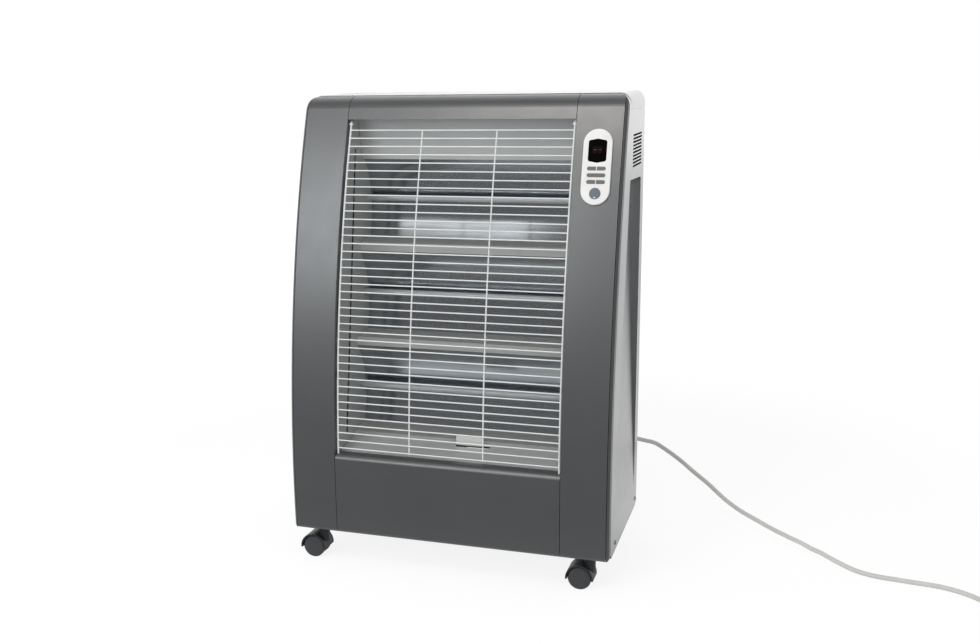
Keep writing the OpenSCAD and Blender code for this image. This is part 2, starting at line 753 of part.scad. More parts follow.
module reflector_upper() reflector(2);

module at_lamp(i) translate([0, lamp_pos(i)[0], lamp_pos(i)[1]]) rotate([0, 90, 0]) children();

tube_l = 2 * (lamp_end - ceramic_l + 4);
pinch_l = 6;

// A quartz tube with its flattened ends
module lamp(i) color([0.88, 0.90, 0.92, 0.5]) at_cabinet() at_lamp(i) {
    difference() {
        cylinder(h = tube_l - 2 * pinch_l, d = lamp_d, center = true, $fn = fn);
        cylinder(h = tube_l - 2 * pinch_l - 4, d = lamp_d - 2 * quartz_t, center = true, $fn = fn);
    }
    for (s = [-1, 1]) translate([0, 0, s * (tube_l - pinch_l) / 2])
        cube([3, lamp_d - 1, pinch_l], center = true);
}

module lamp_lower() lamp(0);

module lamp_middle() lamp(1);

module lamp_upper() lamp(2);

module lamp_filaments() color([0.75, 0.55, 0.35]) at_cabinet() for (i = [0 : lamp_n - 1]) at_lamp(i)
    cylinder(h = tube_l - 2 * pinch_l - 4, d = 1.6, center = true, $fn = fn_small);

// The ceramic ends, outside the liners
module lamp_ceramics() color([0.90, 0.88, 0.83]) at_cabinet() for (i = [0 : lamp_n - 1], s = [-1, 1])
    at_lamp(i) difference() {
        translate([0, 0, s * (ceramic_x + ceramic_l / 2)]) cube([ceramic_w, ceramic_w, ceramic_l],
            center = true);
        translate([0, 0, s * (ceramic_x + 2)]) cube([3.4, lamp_d - 0.6, 4.4], center = true);
    }

// A spring clip that holds each ceramic end on the outside of a liner
module lamp_clips() color([0.72, 0.73, 0.74]) at_cabinet() for (i = [0 : lamp_n - 1], s = [0, 1])
    mirror([s, 0, 0])
    translate([0, lamp_pos(i)[0], lamp_pos(i)[1]]) {
        reach = ceramic_w / 2 + clip_gap;
        foot = side_x + rest_gap;
        mid = ceramic_x + ceramic_l / 2;
        for (z = [-reach - clip_t, reach]) translate([mid - 5, -ceramic_w / 2, z])
            cube([10, ceramic_w + 1, clip_t]);
        translate([foot, reach, -reach - clip_t]) cube([mid + 5 - foot, clip_t, 2 * (reach + clip_t)]);
        translate([foot, reach, -reach - clip_t]) cube([clip_t, 12, 2 * (reach + clip_t)]);
    }
clip_gap = 0.1;
clip_t = 1;

// ---------- linings of the opening ----------

module side_liner() difference() {
    along_x(liner_x, liner_x + sheet) difference() {
        intersection() {
            front_circle(0, lip_d + rest_gap);
            polygon([[-body_d, 1.5 * sheet], [-50, 1.5 * sheet], [-50, body_h - 16],
                [-body_d, body_h - 16]]);
            profile(wall + 1);
        }
        pack_frame() translate([-liner_slot_y, -1]) square([liner_slot, pack_len + 8]);
    }
    for (i = [0 : lamp_n - 1]) at_lamp(i) cylinder(h = body_w, d = lamp_d + 1.4, center = true, $fn = fn);
    translate([liner_x, wire_y, wire_z]) rotate([0, 90, 0]) cylinder(h = 10, d = 8, center = true,
        $fn = fn_small);
}

module side_liners() color([0.50, 0.52, 0.51]) at_cabinet() for (s = [0, 1]) mirror([s, 0, 0]) side_liner();

deflector_y = front_y(open_top + wall + sheet) + lip_d + rest_gap;
deflector_end = pack_pos(pack_len - 6, -2 - sheet);

// A strip of sheet along the points p in the side view
module strip(p) polygon(concat(p, [for (i = [len(p) - 1 : -1 : 0]) p[i] + [0, sheet]]));

module top_deflector() color([0.74, 0.75, 0.74]) at_cabinet() along_x(-fascia_x, fascia_x)
    strip([[deflector_y, open_top + wall], [deflector_y + 18, open_top + wall],
        [deflector_end[0], deflector_end[1]]]);

tray_front = [front_y(fascia_h) + lip_d + rest_gap, fascia_h - wall];
tray_back = pack_pos(-end_flat - 1, -1);
tab_x = -4;
tab_w = 42;
tray_hole = 14;

module floor_tray() color([0.62, 0.61, 0.59]) at_cabinet() {
    difference() {
        along_x(-fascia_x, fascia_x) strip([tray_front, tray_back]);
        translate([tab_x, tray_back[0] - 11, tray_back[1] - 10]) cube([tab_w + tray_hole, 8, 20]);
    }
    translate([tab_x, tray_back[0] - 3 - sheet, tray_back[1] - 1.2]) cube([tab_w, sheet, 10]);
}

// ---------- control panel ----------

module stadium(w, l) {
    square([w, l - w], center = true);
    for (s = [-1, 1]) translate([0, s * (l - w) / 2]) circle(d = w, $fn = 2 * fn);
}

// A bar with each end round or square
module bar(w, h, left, right) {
    x0 = -w / 2 + (left ? h / 2 : 0);
    x1 = w / 2 - (right ? h / 2 : 0);
    translate([x0, -h / 2]) square([x1 - x0, h]);
    if (left) translate([x0, 0]) circle(d = h, $fn = fn);
    if (right) translate([x1, 0]) circle(d = h, $fn = fn);
}

// The window's barrel outline, drawn in by inset
module window_shape(inset = 0) {
    w = window_w / 2 - inset;
    h = window_h / 2 - inset;
    r = 4 - inset;
    bow = 1.6;
    polygon(concat(
        arc_pts([w - r, h - r - bow], r, 0, 60, 4), [[0, h]], arc_pts([-w + r, h - r - bow], r, 120,
            180, 4),
        arc_pts([-w + r, -h + r + bow], r, 180, 240, 4), [[0, -h]],
            arc_pts([w - r, -h + r + bow], r, 300, 360, 4)
    ));
}

// The six buttons: middle, width, height and round ends
keys = [
    [-half_x, row_y, half_w, true, false], [half_x, row_y, half_w, false, true],
    [0, row_y - key_pitch, 2 * half_w + 1.8, true, true],
    [-half_x, row_y - 2 * key_pitch, half_w, true, false], [half_x, row_y - 2 * key_pitch, half_w,
        false, true]
];

module key_shape(k, grow) translate([keys[k][0], keys[k][1]])
    bar(keys[k][2] + 2 * grow, key_h + 2 * grow, keys[k][3], keys[k][4]);

module control_bezel() color([0.95, 0.95, 0.94]) at_cabinet() at_panel() {
    difference() {
        union() {
            translate([0, 0, panel_back]) linear_extrude(panel_t - 0.8) stadium(panel_w, panel_l);
            translate([0, 0, panel_out - 0.9]) linear_extrude(0.9) stadium(panel_w - 1.4, panel_l - 1.4);
        }
        translate([0, window_y, panel_back - 1]) linear_extrude(panel_t + 2) window_shape(ledge_w);
        translate([0, window_y, window_z]) linear_extrude(panel_t) window_shape();
        for (k = [0 : len(keys) - 1]) translate([0, 0, panel_back - 1]) linear_extrude(panel_t + 2)
            key_shape(k, key_gap);
        translate([0, round_y, panel_back - 1]) cylinder(h = panel_t + 2, d = round_d + 2 * key_gap,
            $fn = fn);
    }
    for (x = [-post_x, post_x], y = [-post_y, post_y])
        translate([x, y, board_z]) cylinder(h = post_l, d = 4.4, $fn = fn_small);
}

module display_window() color([0.06, 0.05, 0.06]) at_cabinet() at_panel() translate([0, window_y, window_z])
    linear_extrude(window_t) window_shape(0.15);

module display_module() color([0.15, 0.15, 0.16]) at_cabinet() at_panel()
    translate([-window_w / 2 + 1, window_y - window_h / 2 + 1.5, board_z])
        cube([window_w - 2, window_h - 3, post_l - 0.3]);

module control_board() color([0.12, 0.35, 0.20]) at_cabinet() at_panel() {
    translate([-panel_w / 2 + 3, -panel_l / 2 + 4, board_z - board_t])
        cube([panel_w - 6, panel_l - 8, board_t]);
    for (k = [0 : len(keys)]) translate([k < len(keys) ? keys[k][0] : 0,
        k < len(keys) ? keys[k][1] : round_y, board_z]) {
        translate([-2.5, -2.5, -0.2]) cube([5, 5, switch_h]);
        cylinder(h = key_root - board_z - key_travel - 0.2, d = 2.4, $fn = fn_small);
    }
}
switch_h = key_root - board_z - key_travel - 1;

module key(k) color([0.50, 0.50, 0.50]) at_cabinet() at_panel() {
    translate([0, 0, key_root]) linear_extrude(panel_out + key_out - key_root) key_shape(k, 0);
    translate([0, 0, key_root]) linear_extrude(key_inner - key_root) intersection() {
        key_shape(k, key_gap + key_flange);
        translate([keys[k][0] > 0 ? 0.2 : -30, -60]) square([keys[k][0] == 0 ? 60 : 29.8, 120]);
    }
}

module upper_left_button() key(0);

module upper_right_button() key(1);

module wide_button() key(2);

module lower_left_button() key(3);

module lower_right_button() key(4);

module round_button() color([0.43, 0.47, 0.50]) at_cabinet() at_panel() translate([0, round_y, key_root]) {
    cylinder(h = panel_out + key_out - key_root, d = round_d, $fn = fn);
    cylinder(h = key_inner - key_root, d = round_d + 2 * (key_gap + key_flange), $fn = fn);
}

// ---------- electrical fittings ----------

// The board on the right liner, with its standoffs, relays, transformer and heat sink
module power_board() color([0.15, 0.38, 0.24]) at_cabinet() {
    translate([board_x, board_y[0], board_h[0]])
        cube([board_t, board_y[1] - board_y[0], board_h[1] - board_h[0]]);
    for (y = [board_y[0] + 8, board_y[1] - 8], z = [board_h[0] + 8, board_h[1] - 8])
        translate([liner_x + sheet, y, z])
        rotate([0, 90, 0]) cylinder(h = board_x - liner_x - sheet, d = 6, $fn = fn_small);
    for (i = [0 : lamp_n - 1]) translate([board_x + board_t, board_y[0] + 10 + i * 24, board_h[1] - 40])
        cube([16, 19, 24]);
    translate([board_x + board_t, board_y[0] + 12, board_h[0] + 14]) cube([26, 34, 40]);
    translate([board_x + board_t, board_y[1] - 26, board_h[0] + 16]) cube([12, 6, 34]);
}

module terminal_block() color([0.85, 0.84, 0.80]) at_cabinet() difference() {
    translate([block_x - 20, block_y - 9, 1.5 * sheet]) cube([40, 18, 16]);
    for (i = [-1 : 1]) translate([block_x + i * 12, block_y, 10]) cylinder(h = 20, d = 5, $fn = fn_small);
}

cutout_pos = [mid_y + 26, open_top - 40];

// A disc thermostat on the right liner
module thermal_cutout() color([0.20, 0.20, 0.21]) at_cabinet()
    translate([liner_x + sheet, cutout_pos[0], cutout_pos[1]])
    rotate([0, 90, 0]) {
        cylinder(h = 1, d = 24, $fn = fn);
        cylinder(h = 9, d = 16, $fn = fn);
        for (s = [-1, 1]) translate([-1, s * 4 - 0.4, 8]) cube([6, 0.8, 8]);
    }

module tip_switch() color([0.22, 0.22, 0.24]) at_cabinet() {
    translate([-body_w / 2 + 24, -90, 1.5 * sheet]) cube([26, 20, 38]);
    translate([-body_w / 2 + 20, -84, 1.5 * sheet]) cube([34, 8, 2]);
    for (i = [0, 1]) translate([-body_w / 2 + 30 + i * 12, -82, 1.5 * sheet + 37]) cube([4, 0.8, 9]);
}

wire_y = mid_y + 6;
wire_z = 22;
wire_r = 1.3;
lead_up = [0.37, 0.81, 0.45];

// The inner leads: mains lead, board supply, one lead to each lamp, the common return
// under the tray, the thermostat's leads and the panel's lead
module wire_harness() color([0.75, 0.75, 0.72]) at_cabinet() {
    tube([[exit_x, -6.2, exit_z], [exit_x, -20, exit_z], [exit_x + 4, -40, exit_z - 8],
        [exit_x + 12, -60, exit_z - 26],
          [block_x - 8, block_y + 8, 50], [block_x - 4, block_y, 34],
              [block_x - 4, block_y, 17.8 + sheet / 2]],
         cord_d / 2, 8, lead_up);
    for (s = [0, 1])
        tube([[block_x + 6 + s * 8, block_y - 4, 17.8 + sheet / 2], [block_x + 6 + s * 8, block_y - 5, 40],
              [block_x + 6 + s * 8, block_y - 12, 90], [block_x + 4 + s * 4, block_y - 12, 170],
              [board_x + 8 + s * 5, block_y - 12 + s * 5, board_h[0] - 24],
              [board_x + 0.8, block_y - 12 + s * 8, board_h[0] - 12],
              [board_x + 0.8, block_y - 12 + s * 8, board_h[0] - 2 * rest_gap]], wire_r, 6, lead_up);
    for (i = [0 : lamp_n - 1])
        let (p = lamp_pos(i), y = mid_y + [16, 34, -4][min(i, 2)],
            s = p[1] > (board_h[0] + board_h[1]) / 2 ? 1 : -1,
             end = s > 0 ? board_h[1] : board_h[0], far = abs(p[1] - end) > 60, t = far ? -s : s)
        tube([[lamp_end + rest_gap + 0.2, p[0], p[1]], [lamp_end + 4, p[0], p[1]],
            [lamp_end + 7, p[0], p[1] + t * 12],
              [board_x + 20 + i * 3, (p[0] + y) / 2, end + s * (far ? abs(p[1] - end) / 2 : 26)],
              [board_x + 0.8, y, end + s * 14], [board_x + 0.8, y, end + s * 2 * rest_gap]], wire_r, 6,
                  lead_up);
    for (i = [0 : lamp_n - 1]) let (p = lamp_pos(i))
        tube([[-lamp_end - rest_gap - 0.2, p[0], p[1]], [-lamp_end - 4, p[0], p[1]],
              [-lamp_end - 7 - i * 3, p[0] + 4, p[1] - 16], [-side_x - 16 - i * 4, wire_y + i * 4,
                  p[1] - 60],
              [-side_x - 16 - i * 4, wire_y + i * 4, wire_z + 30],
              [-side_x - 10, wire_y - 2 + i * 2.9, wire_z + 4], [-side_x - 3, wire_y - 2.9 + i * 2.9,
                  wire_z]], wire_r, 6, lead_up);
    tube([[-side_x - 2.6, wire_y, wire_z], [-side_x + 10, wire_y, wire_z], [0, wire_y, wire_z - 3],
        [side_x - 10, wire_y, wire_z],
          [side_x + 12, wire_y, wire_z], [side_x + 22, wire_y + 4, wire_z + 16], [side_x + 24, wire_y, 150],
          [board_x + 8, wire_y + 2, board_h[0] - 30], [board_x + 0.8, wire_y + 2, board_h[0] - 12],
          [board_x + 0.8, wire_y + 2, board_h[0] - 2 * rest_gap]], 2.4, 8, lead_up);
    for (s = [-1, 1])
        tube([[side_x + 16.6, cutout_pos[0] + s * 4, cutout_pos[1]],
              [side_x + 20, cutout_pos[0] + s * 4, cutout_pos[1]],
              [side_x + 24, cutout_pos[0] + s * 5, cutout_pos[1] - 14],
              [side_x + 18, board_y[1] - 6 + s * 4, cutout_pos[1] - 60],
              [side_x + 16, board_y[1] - 6 + s * 4, cutout_pos[1] - 120],
              [board_x + 0.8, board_y[1] - 10 + s * 4, board_h[1] + 30],
              [board_x + 0.8, board_y[1] - 10 + s * 4, board_h[1] + 2 * rest_gap]], wire_r, 6, lead_up);
    tube([[panel_x, ribbon_y, ribbon_z], [panel_x, ribbon_y + 14, ribbon_z - 3],
        [panel_x + 6, ribbon_y + 30, ribbon_z - 24],
          [panel_x + 6, -132, ribbon_z - 90], [panel_x, -142, board_h[1] + 40],
              [board_x + 0.8, -143, board_h[1] + 14],
          [board_x + 0.8, -143, board_h[1] + 2 * rest_gap]], 1.8, 8, lead_up);
}
ribbon_drop = board_z - board_t - rest_gap;
ribbon_y = front_y(panel_z) + (-20) * sin(panel_a) - ribbon_drop * cos(panel_a);
ribbon_z = panel_z + (-20) * cos(panel_a) + ribbon_drop * sin(panel_a);

module screw(head_d, head_h, shank) {
    cylinder(h = head_h * 0.5, d = head_d, $fn = fn_small);
    cylinder(h = head_h, d = head_d * 0.72, $fn = fn_small);
    translate([0, 0, -shank]) cylinder(h = shank, d = 3, $fn = fn_small);
}

module cabinet_screws() color([0.35, 0.36, 0.37]) at_cabinet() for (s = [0, 1]) mirror([s, 0, 0]) {
    for (p = side_screws) translate([body_w / 2, p[0], p[1]]) rotate([0, 90, 0]) screw(8, 1.6, 7);
    for (p = back_screws) translate([p[0], 0, p[1]]) rotate([-90, 0, 0]) screw(8, 1.6, 7);
}

// ---------- cord and plug ----------

boot_neck = 15;
boot_flange = 24;
gland_in = 5;

// The strain relief: a gland through the back panel and a ribbed, tapered boot
module strain_relief() color([0.78, 0.78, 0.76]) at_cabinet() translate([exit_x, 0, exit_z])
    rotate([-90, 0, 0])
    rotate_extrude($fn = fn) polygon(concat(
        [[0, -gland_in - sheet], [boot_neck / 2 + 3, -gland_in - sheet], [boot_neck / 2 + 3, -sheet],
            [boot_neck / 2, -sheet],
         [boot_neck / 2, 0], [boot_flange / 2, 0], [boot_flange / 2, 2.4], [boot_flange / 2 - 1, 3.2]],
        [for (i = [0 : 5]) let (y = 4 + i * (boot_l - 8) / 6,
            r = boot_neck / 2 + 1 - i * (boot_neck / 2 + 0.3 - cord_d / 2 - 0.9) / 6)
            each [[r, y], [r, y + 2.6], [r - 1.2, y + 3], [r - 1.2, y + 4]]],
        [[cord_d / 2 + 1.2, boot_l - 4], [cord_d / 2 + 1, boot_l], [0, boot_l]]
    ));

run_pts = concat(cord_pts, [coil_from - 14 * [coil_dir[0], coil_dir[1], 0], coil_from]);

module cord_run() color([0.88, 0.88, 0.87]) tube(run_pts, cord_d / 2, 10);

// One point of the coil's middle line after t turns
coil_half = coil_turns / 2;
function ease(t) = t <= 0 ? 0 : t >= 1 ? 1 : t * t * (3 - 2 * t);
function coil_at(t) =
    let (
        r = coil_r - coil_pitch * (t < coil_half ? t : coil_turns - t), a = coil_start + 360 * t,
        z = coil_z + coil_pitch * ease((t - coil_half + 0.25) / 0.5)
    )
    [coil_c[0] + r * cos(a), coil_c[1] + r * sin(a), z];
coil_loops = [for (i = [0 : coil_turns * coil_steps]) coil_at(i / coil_steps)];
coil_last = coil_loops[len(coil_loops) - 1];
coil_pts = concat(
    [coil_from, coil_from + 6.5 * [coil_dir[0], coil_dir[1], 0]],
    [for (i = [1 : len(coil_loops) - 1]) coil_loops[i]],
    [for (s = [0.2, 0.4, 0.6, 0.8]) [coil_last[0] + coil_dir[0] * s * coil_tail,
        coil_last[1] + coil_dir[1] * s * coil_tail,
        coil_last[2] + (plug_z - coil_last[2]) * ease(s / 0.8)]],
    [coil_to]
);
coil_gap = min([
    for (i = [0 : len(coil_pts) - 1], j = [0 : len(coil_pts) - 1])
        if (j - i > coil_steps / 2) norm(coil_pts[i] - coil_pts[j])
]) - cord_d;
function path_length(p, i = 1) = i == len(p) ? 0 : norm(p[i] - p[i - 1]) + path_length(p, i + 1);
echo(coil_gap = coil_gap, run_length = path_length(run_pts), coil_length = path_length(coil_pts));

module cord_coil() color([0.88, 0.88, 0.87]) tube(coil_pts, cord_d / 2, 6);

module at_plug() translate(coil_to) rotate([0, 0, atan2(coil_dir[1], coil_dir[0])]) rotate([0, 90, 0])
    children();

plug_boot = 24;

// The plug: a ribbed boot, a round body with two flats, and the pin face
module plug_body() color([0.86, 0.86, 0.85]) at_plug() {
    rotate_extrude($fn = fn) polygon([
        [0, 0], [cord_d / 2 + 1.2, 0], [cord_d / 2 + 1.6, 5], [cord_d / 2 + 1.2, 6],
            [cord_d / 2 + 2.2, 11], [cord_d / 2 + 1.8, 12],
        [cord_d / 2 + 3, 17], [cord_d / 2 + 2.6, 18], [cord_d / 2 + 4, plug_boot],
        [plug_d / 2 - 5, plug_boot + 6], [plug_d / 2 - 1, plug_boot + 12], [plug_d / 2, plug_boot + 16],
        [plug_d / 2, plug_boot + plug_l - 1], [plug_d / 2 - 1, plug_boot + plug_l], [0, plug_boot + plug_l]
    ]);
}

module plug_pins() color([0.80, 0.68, 0.38]) at_plug() for (s = [-1, 1])
    translate([0, s * pin_pitch / 2, plug_boot + plug_l]) {
        cylinder(h = pin_l - 1, d = pin_d, $fn = fn);
        translate([0, 0, pin_l - 1]) cylinder(h = 1, d1 = pin_d, d2 = pin_d - 1.6, $fn = fn);
    }

// ---------- castors ----------

// A castor's frame: the floor below its swivel axis; the wheels trail to the left
module at_castor(x, y) translate([x, body_d / 2 - y, 0]) children();

module at_axle() translate([-castor_trail, 0, wheel_d / 2]) rotate([90, 0, 0]) children();

module castor_hood() difference() {
    union() {
        difference() {
            at_axle() cylinder(h = hood_w, r = hood_r, center = true, $fn = 2 * fn);
            at_axle() cylinder(h = hood_w + 2, r = hood_r - hood_t, center = true, $fn = 2 * fn);
            translate([-castor_trail - hood_r - 1, -hood_w, -hood_r])
                cube([2 * hood_r + 2, 2 * hood_w, hood_r + wheel_d / 2 - 2]);
        }
        intersection() {
            at_axle() cylinder(h = web_t, r = hood_r - 1, center = true, $fn = 2 * fn);
            translate([-castor_trail - hood_r, -web_t, wheel_d / 2 - 6])
                cube([2 * hood_r, 2 * web_t, hood_r + 6]);
        }
        difference() {
            translate([0, 0, wheel_d / 2 + 8]) cylinder(h = hood_top - wheel_d / 2 - 8, d = stem_d + 10,
                $fn = fn);
            at_axle() cylinder(h = hood_w + 20, r = hood_r - 1, center = true, $fn = 2 * fn);
        }
    }
    translate([0, 0, stem_low]) cylinder(h = castor_h, d = stem_d, $fn = fn);
    at_axle() cylinder(h = hood_w, r = axle_d / 2 + 0.02, center = true, $fn = fn_small);
}

module castor_pins() {
    translate([0, 0, stem_low]) cylinder(h = castor_h - stem_low + stem_l - rest_gap, d = stem_d - 0.04,
        $fn = fn);
    at_axle() cylinder(h = axle_l, d = axle_d, center = true, $fn = fn_small);
}

// A wheel, with its tread, a shallow dish and a closed outer face
module castor_wheel(side) at_axle() mirror([0, 0, side > 0 ? 0 : 1]) translate([0, 0, web_t / 2 + 0.4])
    rotate_extrude($fn = 2 * fn) polygon([
        [axle_d / 2 + run_gap, 0], [wheel_d / 2 - 6, 0], [wheel_d / 2 - 1.2, 0.6], [wheel_d / 2, 1.8],
        [wheel_d / 2, wheel_w - 3], [wheel_d / 2 - 1.4, wheel_w - 1.2], [wheel_d / 2 - 5, wheel_w - 0.2],
        [wheel_d / 2 - 11, wheel_w], [0, wheel_w + 0.2], [0, wheel_w - 2.4],
            [axle_d / 2 + run_gap, wheel_w - 2.4]
    ]);

module hood_at(x, y) color([0.22, 0.23, 0.24]) at_castor(x, y) castor_hood();

module pins_at(x, y) color([0.65, 0.66, 0.68]) at_castor(x, y) castor_pins();

module wheel_at(x, y, side) color([0.29, 0.30, 0.32]) at_castor(x, y) castor_wheel(side);

module castor_fl_hood() hood_at(-castor_x, castor_front);

module castor_fl_pins() pins_at(-castor_x, castor_front);

module castor_fl_wheel_a() wheel_at(-castor_x, castor_front, 1);

module castor_fl_wheel_b() wheel_at(-castor_x, castor_front, -1);

module castor_fr_hood() hood_at(castor_x, castor_front);

module castor_fr_pins() pins_at(castor_x, castor_front);

module castor_fr_wheel_a() wheel_at(castor_x, castor_front, 1);

module castor_fr_wheel_b() wheel_at(castor_x, castor_front, -1);

module castor_rl_hood() hood_at(-castor_x, castor_rear);

module castor_rl_pins() pins_at(-castor_x, castor_rear);

module castor_rl_wheel_a() wheel_at(-castor_x, castor_rear, 1);

module castor_rl_wheel_b() wheel_at(-castor_x, castor_rear, -1);

module castor_rr_hood() hood_at(castor_x, castor_rear);

module castor_rr_pins() pins_at(castor_x, castor_rear);

module castor_rr_wheel_a() wheel_at(castor_x, castor_rear, 1);

module castor_rr_wheel_b() wheel_at(castor_x, castor_rear, -1);

side_panel_left();
side_panel_right();
lid();
back_panel();
base_plate();
left_pillar();
right_pillar();
edge_trims();
top_fascia();
bottom_fascia();
wire_guard();
reflector_upper();
reflector_middle();
reflector_lower();
lamp_upper();
lamp_middle();
lamp_lower();
lamp_filaments();
lamp_ceramics();
lamp_clips();
side_liners();
top_deflector();
floor_tray();
control_bezel();
display_window();
display_module();
control_board();
upper_left_button();
upper_right_button();
wide_button();
lower_left_button();
lower_right_button();
round_button();
power_board();
terminal_block();
thermal_cutout();
tip_switch();
wire_harness();
cabinet_screws();
strain_relief();
cord_run();
cord_coil();
plug_body();
plug_pins();
castor_fl_hood();
castor_fl_pins();
castor_fl_wheel_a();
castor_fl_wheel_b();
castor_fr_hood();
castor_fr_pins();
castor_fr_wheel_a();
castor_fr_wheel_b();
castor_rl_hood();
castor_rl_pins();
castor_rl_wheel_a();
castor_rl_wheel_b();
castor_rr_hood();
castor_rr_pins();
castor_rr_wheel_a();
castor_rr_wheel_b();
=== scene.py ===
"""A halogen cabinet heater on castors: finishes, cord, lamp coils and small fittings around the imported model."""
import json
import math

import bmesh
import bpy
from mathutils import Matrix, Vector


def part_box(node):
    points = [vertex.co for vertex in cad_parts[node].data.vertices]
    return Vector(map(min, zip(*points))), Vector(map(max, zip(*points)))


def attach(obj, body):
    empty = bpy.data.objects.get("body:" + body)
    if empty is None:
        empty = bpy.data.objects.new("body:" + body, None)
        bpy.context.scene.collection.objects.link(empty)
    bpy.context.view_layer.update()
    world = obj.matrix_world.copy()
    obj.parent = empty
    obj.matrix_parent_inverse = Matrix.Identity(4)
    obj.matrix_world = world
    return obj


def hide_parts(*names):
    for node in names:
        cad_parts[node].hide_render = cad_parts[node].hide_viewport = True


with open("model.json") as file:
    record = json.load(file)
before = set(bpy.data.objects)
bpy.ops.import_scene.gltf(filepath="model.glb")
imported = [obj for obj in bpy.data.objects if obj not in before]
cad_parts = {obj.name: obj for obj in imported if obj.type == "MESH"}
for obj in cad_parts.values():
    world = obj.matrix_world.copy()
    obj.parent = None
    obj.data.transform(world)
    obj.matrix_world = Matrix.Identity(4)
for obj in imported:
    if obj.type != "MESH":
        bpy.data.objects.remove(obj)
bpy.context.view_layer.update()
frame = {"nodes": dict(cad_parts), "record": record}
nodes = frame["nodes"]

MM = 0.001
WHITE = (1, 1, 1, 1)


# ---------------------------------------------------------------- camera

LENS_MM = 38.37
SENSOR_MM = 36.0
NEAR_CLIP = 0.05
EYE = Vector((0.50144, -1.55144, 0.70908))
YAW, PITCH, ROLL = math.radians(-16.6589), math.radians(11.3315), math.radians(-0.3284)


def make_camera():
    """The photograph's view: an eye in front of the heater's right side, looking down a little."""
    forward = Vector((math.sin(YAW) * math.cos(PITCH), math.cos(YAW) * math.cos(PITCH), -math.sin(PITCH)))
    right = Vector((math.cos(YAW), -math.sin(YAW), 0))
    up = right.cross(forward)
    rolled_right = right * math.cos(ROLL) + up * math.sin(ROLL)
    rolled_up = up * math.cos(ROLL) - right * math.sin(ROLL)
    data = bpy.data.cameras.new("camera")
    data.lens = LENS_MM
    data.sensor_width = SENSOR_MM
    data.clip_start = NEAR_CLIP
    data.dof.use_dof = False
    camera = bpy.data.objects.new("camera", data)
    bpy.context.scene.collection.objects.link(camera)
    turn = Matrix((rolled_right, rolled_up, -forward)).transposed()
    camera.matrix_world = Matrix.Translation(EYE) @ turn.to_4x4()
    bpy.context.scene.camera = camera


# ---------------------------------------------------------------- small helpers

def add_object(name, data):
    obj = bpy.data.objects.new(name, data)
    bpy.context.scene.collection.objects.link(obj)
    return obj


def place_piece(piece, material, body="cabinet"):
    """Gives a new piece its finish and the body that it moves with."""
    piece.data.materials.append(material)
    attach(piece, body)


def close_prism(bm, low, high):
    """Caps two rings of vertices and joins them with sides."""
    bm.faces.new(high)
    bm.faces.new(low[::-1])
    for i in range(len(low)):
        k = (i + 1) % len(low)
        bm.faces.new((low[i], low[k], high[k], high[i]))


def add_mesh(name, bm):
    mesh = bpy.data.meshes.new(name)
    bm.to_mesh(mesh)
    bm.free()
    return add_object(name, mesh)


class Shader:
    """A material's node tree, with short calls to add and join its nodes."""

    def __init__(self, name, **values):
        self.material = bpy.data.materials.new(name)
        self.material.use_nodes = True
        self.tree = self.material.node_tree
        self.base = self.tree.nodes["Principled BSDF"]
        self.output = self.tree.nodes["Material Output"]
        for socket, value in values.items():
            self.base.inputs[socket.replace("_", " ")].default_value = value
        self.place = self.add("ShaderNodeTexCoord").outputs["Object"]

    def add(self, kind, settings=None, **values):
        node = self.tree.nodes.new(kind)
        for key, value in (settings or {}).items():
            setattr(node, key, value)
        for socket, value in values.items():
            self.put(node.inputs[socket.replace("_", " ")], value)
        return node

    def put(self, socket, value):
        if isinstance(value, bpy.types.NodeSocket):
            self.tree.links.new(value, socket)
        else:
            socket.default_value = value

    def noise(self, scale, detail=3.0, roughness=0.5, stretch=(1, 1, 1)):
        """Noise whose scale is in features per metre, drawn out along some axes."""
        mapped = self.add("ShaderNodeMapping", Vector=self.place, Scale=stretch)
        return self.add("ShaderNodeTexNoise", Vector=mapped.outputs[0], Scale=scale, Detail=detail,
                        Roughness=roughness).outputs[0]

    def ramp(self, value, low, high, out_low=0.0, out_high=1.0):
        mapped = self.add("ShaderNodeMapRange", {"clamp": True}, Value=value)
        for socket, number in zip(("From Min", "From Max", "To Min", "To Max"), (low, high, out_low, out_high)):
            mapped.inputs[socket].default_value = number
        return mapped.outputs[0]

    def spread(self, noise, out_low=0.0, out_high=1.0):
        """The range that a noise mostly has, stretched from out_low to out_high."""
        return self.ramp(noise, 0.3, 0.7, out_low, out_high)

    def mix(self, factor, first, second, kind="RGBA"):
        """Mixes two colours, or two values where kind is FLOAT."""
        node = self.add("ShaderNodeMix", {"data_type": kind})
        a, b, result = (6, 7, 2) if kind == "RGBA" else (2, 3, 0)
        self.put(node.inputs[0], factor)
        self.put(node.inputs[a], first)
        self.put(node.inputs[b], second)
        return node.outputs[result]

    def math(self, operation, first, second=0.0):
        node = self.add("ShaderNodeMath", {"operation": operation})
        self.put(node.inputs[0], first)
        self.put(node.inputs[1], second)
        return node.outputs[0]

    def bump(self, height, depth, strength=1.0, under=None):
        """A bump whose height map spans depth metres."""
        node = self.add("ShaderNodeBump", Height=height, Strength=strength, Distance=depth)
        if under is not None:
            self.put(node.inputs["Normal"], under)
        return node.outputs[0]

    def glow(self, strength):
        return self.add("ShaderNodeEmission", Color=WHITE, Strength=strength).outputs[0]

    def blend(self, factor, first, second):
        """Mixes two shaders."""
        node = self.add("ShaderNodeMixShader", Fac=factor)
        self.put(node.inputs[1], first)
        self.put(node.inputs[2], second)
        return node.outputs[0]

    def finish(self, **links):
        for socket, value in links.items():
            self.put(self.base.inputs[socket.replace("_", " ")], value)
        return self.material


def grey(level, red=1.0, blue=1.0):
    """A near-neutral colour in linear light, tinted by two factors."""
    return (level * red, level, level * blue, 1)


